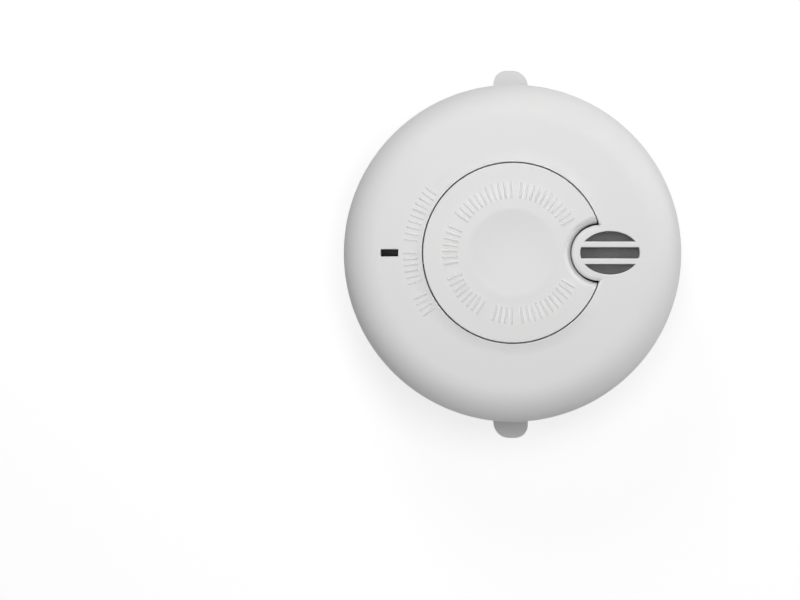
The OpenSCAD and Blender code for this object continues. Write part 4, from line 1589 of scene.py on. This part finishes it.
@dataclass
class Studio:
    """Pale floor, soft light and a camera in front of the button.

    Attributes:
        lens: Focal length of the camera.
        sensor: Width of the sensor.
        distance: Distance of the camera from the mounting face.
        lean_x: Sideways offset of the camera for each unit of distance.
        lean_y: Offset of the camera along Y for each unit of distance.
        image: Width and height of the picture, in pixels.
        centre_px: Pixel on which the cover's outline is centred.
        outline_z: Height of the cover's outline.
        lamps: The lamps round the object.
        ambient: Brightness of the surroundings.
        floor_r: Radius of the floor.
        floor_z: Height of the floor, just clear of the mounting face.
        floor_sides: Sides of the floor.
        floor_tone: Share of light that the floor throws back.
        floor_glow: Brightness that the floor shows besides.
    """

    lens: float = 120.0
    sensor: float = 36.0
    distance: float = 935.0
    lean_x: float = -0.0157
    lean_y: float = -0.011
    image: tuple[int, int] = (800, 600)
    centre_px: Spot = (511.5, 253.8)
    outline_z: float = 20.0
    lamps: tuple[Lamp, ...] = (
        Lamp("front_lamp", 60.0, 82.0, 1.4, 240.0, 240.0, 600.0),
        Lamp("upper_lamp", 108.0, 40.0, 0.72, 200.0, 200.0, 500.0),
        Lamp("lower_lamp", 270.0, 43.0, 2.2),
        Lamp("edge_lamp", 20.0, 1.2, 5.0, height=50.0),
    )
    ambient: float = 0.14
    floor_r: float = 300.0
    floor_z: float = -0.2
    floor_sides: int = 96
    floor_tone: float = 0.4
    floor_glow: float = 0.72

    def build(self) -> None:
        """Sets up the floor, the surroundings, the lamps and the camera."""
        bpy.context.scene.view_settings.view_transform = "Standard"
        self._floor()
        self._world()
        for lamp in self.lamps:
            lamp.hang()
        self._camera()

    def _floor(self) -> None:
        """Lays a white floor under the mounting face that keeps the shadow and is open from below."""
        mesh = bpy.data.meshes.new("floor")
        rim = [(x * MM, y * MM, self.floor_z * MM) for x, y in ring_spots(self.floor_r, self.floor_sides)]
        mesh.from_pydata(rim, [], [range(self.floor_sides)])
        floor = bpy.data.objects.new("floor", mesh)
        bpy.context.scene.collection.objects.link(floor)
        made = bpy.data.materials.new("floor_white")
        made.use_nodes = True
        tree = made.node_tree
        tree.nodes.clear()
        tone = self.floor_tone
        paint = add_node(tree, "BsdfDiffuse", {"Color": (tone, tone, tone, 1.0)})
        glow = add_node(tree, "Emission")
        lift = add_node(tree, "Math")
        lift.operation = "MULTIPLY"
        lift.inputs[1].default_value = self.floor_glow
        both, side = add_node(tree, "AddShader"), add_node(tree, "NewGeometry")
        clear, pick = add_node(tree, "BsdfTransparent"), add_node(tree, "MixShader")
        join(
            tree,
            (seen_rays(tree), lift.inputs[0]),
            (lift.outputs[0], glow.inputs["Strength"]),
            (paint.outputs[0], both.inputs[0]),
            (glow.outputs[0], both.inputs[1]),
            (side.outputs["Backfacing"], pick.inputs[0]),
            (both.outputs[0], pick.inputs[1]),
            (clear.outputs[0], pick.inputs[2]),
            (pick.outputs[0], add_node(tree, "OutputMaterial").inputs["Surface"]),
        )
        mesh.materials.append(made)

    def _world(self) -> None:
        """Surrounds the object with soft light that shows as white."""
        world = bpy.data.worlds.new("studio")
        bpy.context.scene.world = world
        world.use_nodes = True
        tree = world.node_tree
        tree.nodes.clear()
        soft = add_node(tree, "Background", {"Color": WHITE, "Strength": self.ambient})
        shown = add_node(tree, "Background", {"Color": WHITE, "Strength": 1.0})
        pick = add_node(tree, "MixShader")
        join(
            tree,
            (seen_rays(tree), pick.inputs[0]),
            (soft.outputs[0], pick.inputs[1]),
            (shown.outputs[0], pick.inputs[2]),
            (pick.outputs[0], add_node(tree, "OutputWorld").inputs["Surface"]),
        )

    def _camera(self) -> None:
        """Places the camera so that the cover's outline is centred on its pixel."""
        data = bpy.data.cameras.new("camera")
        data.lens = self.lens
        data.sensor_width = self.sensor
        camera = bpy.data.objects.new("camera", data)
        place = Vector((self.lean_x, self.lean_y, 1.0)) * self.distance
        target = Vector((0.0, 0.0, self.outline_z)) - place
        width, height = self.image
        focal_px = self.lens / self.sensor * width
        column, row = self.centre_px
        ray = Vector(((column - width / 2) / focal_px, (height / 2 - row) / focal_px, -1.0))
        camera.rotation_mode = "QUATERNION"
        camera.rotation_quaternion = ray.rotation_difference(target)
        camera.location = place * MM
        bpy.context.scene.collection.objects.link(camera)
        bpy.context.scene.camera = camera


def button_ribs() -> Ribs:
    """Ribs round the button's finger rest."""
    groups = ((-82.0, 11), (-107.0, 4), (-158.0, 8), (-203.0, 7), (-268.0, 11), (-330.0, 11))
    return Ribs(18.6, 23.2, 0.75, 0.54, 5.3, groups)


def cover_ribs() -> Ribs:
    """Ribs on the cover between the light window and the button."""
    groups = ((143.0, 10), (180.0, 6), (205.0, 4))
    return Ribs(32.0, 36.2, 0.6, 0.37, 3.3, groups)


def main() -> None:
    """Builds every piece in order and sets up the studio."""
    logging.basicConfig(level=logging.INFO, format="%(name)s: %(message)s")
    low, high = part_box("front_cover")
    dome = Dome(rim_r=high.x / MM, rim_z=low.z / MM)
    opening, grille, window = Opening(), Grille(), LightWindow()
    palette = Palette(FINISHES)
    Studio().build()
    FrontCover(dome, opening, grille, window, cover_ribs()).build(palette)
    TestButton(dome, opening, button_ribs()).build(palette)
    SoundScreen(grille).build(palette)
    window.build_pipe(palette)
    CoilSpring("button_spring", Body.BUTTON, wire=0.8, turns=7).build(palette)
    CoilSpring("power_spring", Body.PIN, wire=0.5, turns=5, lower_moves=True).build(palette)
    Housing().dress(palette)


if __name__ == "__main__":
    main()
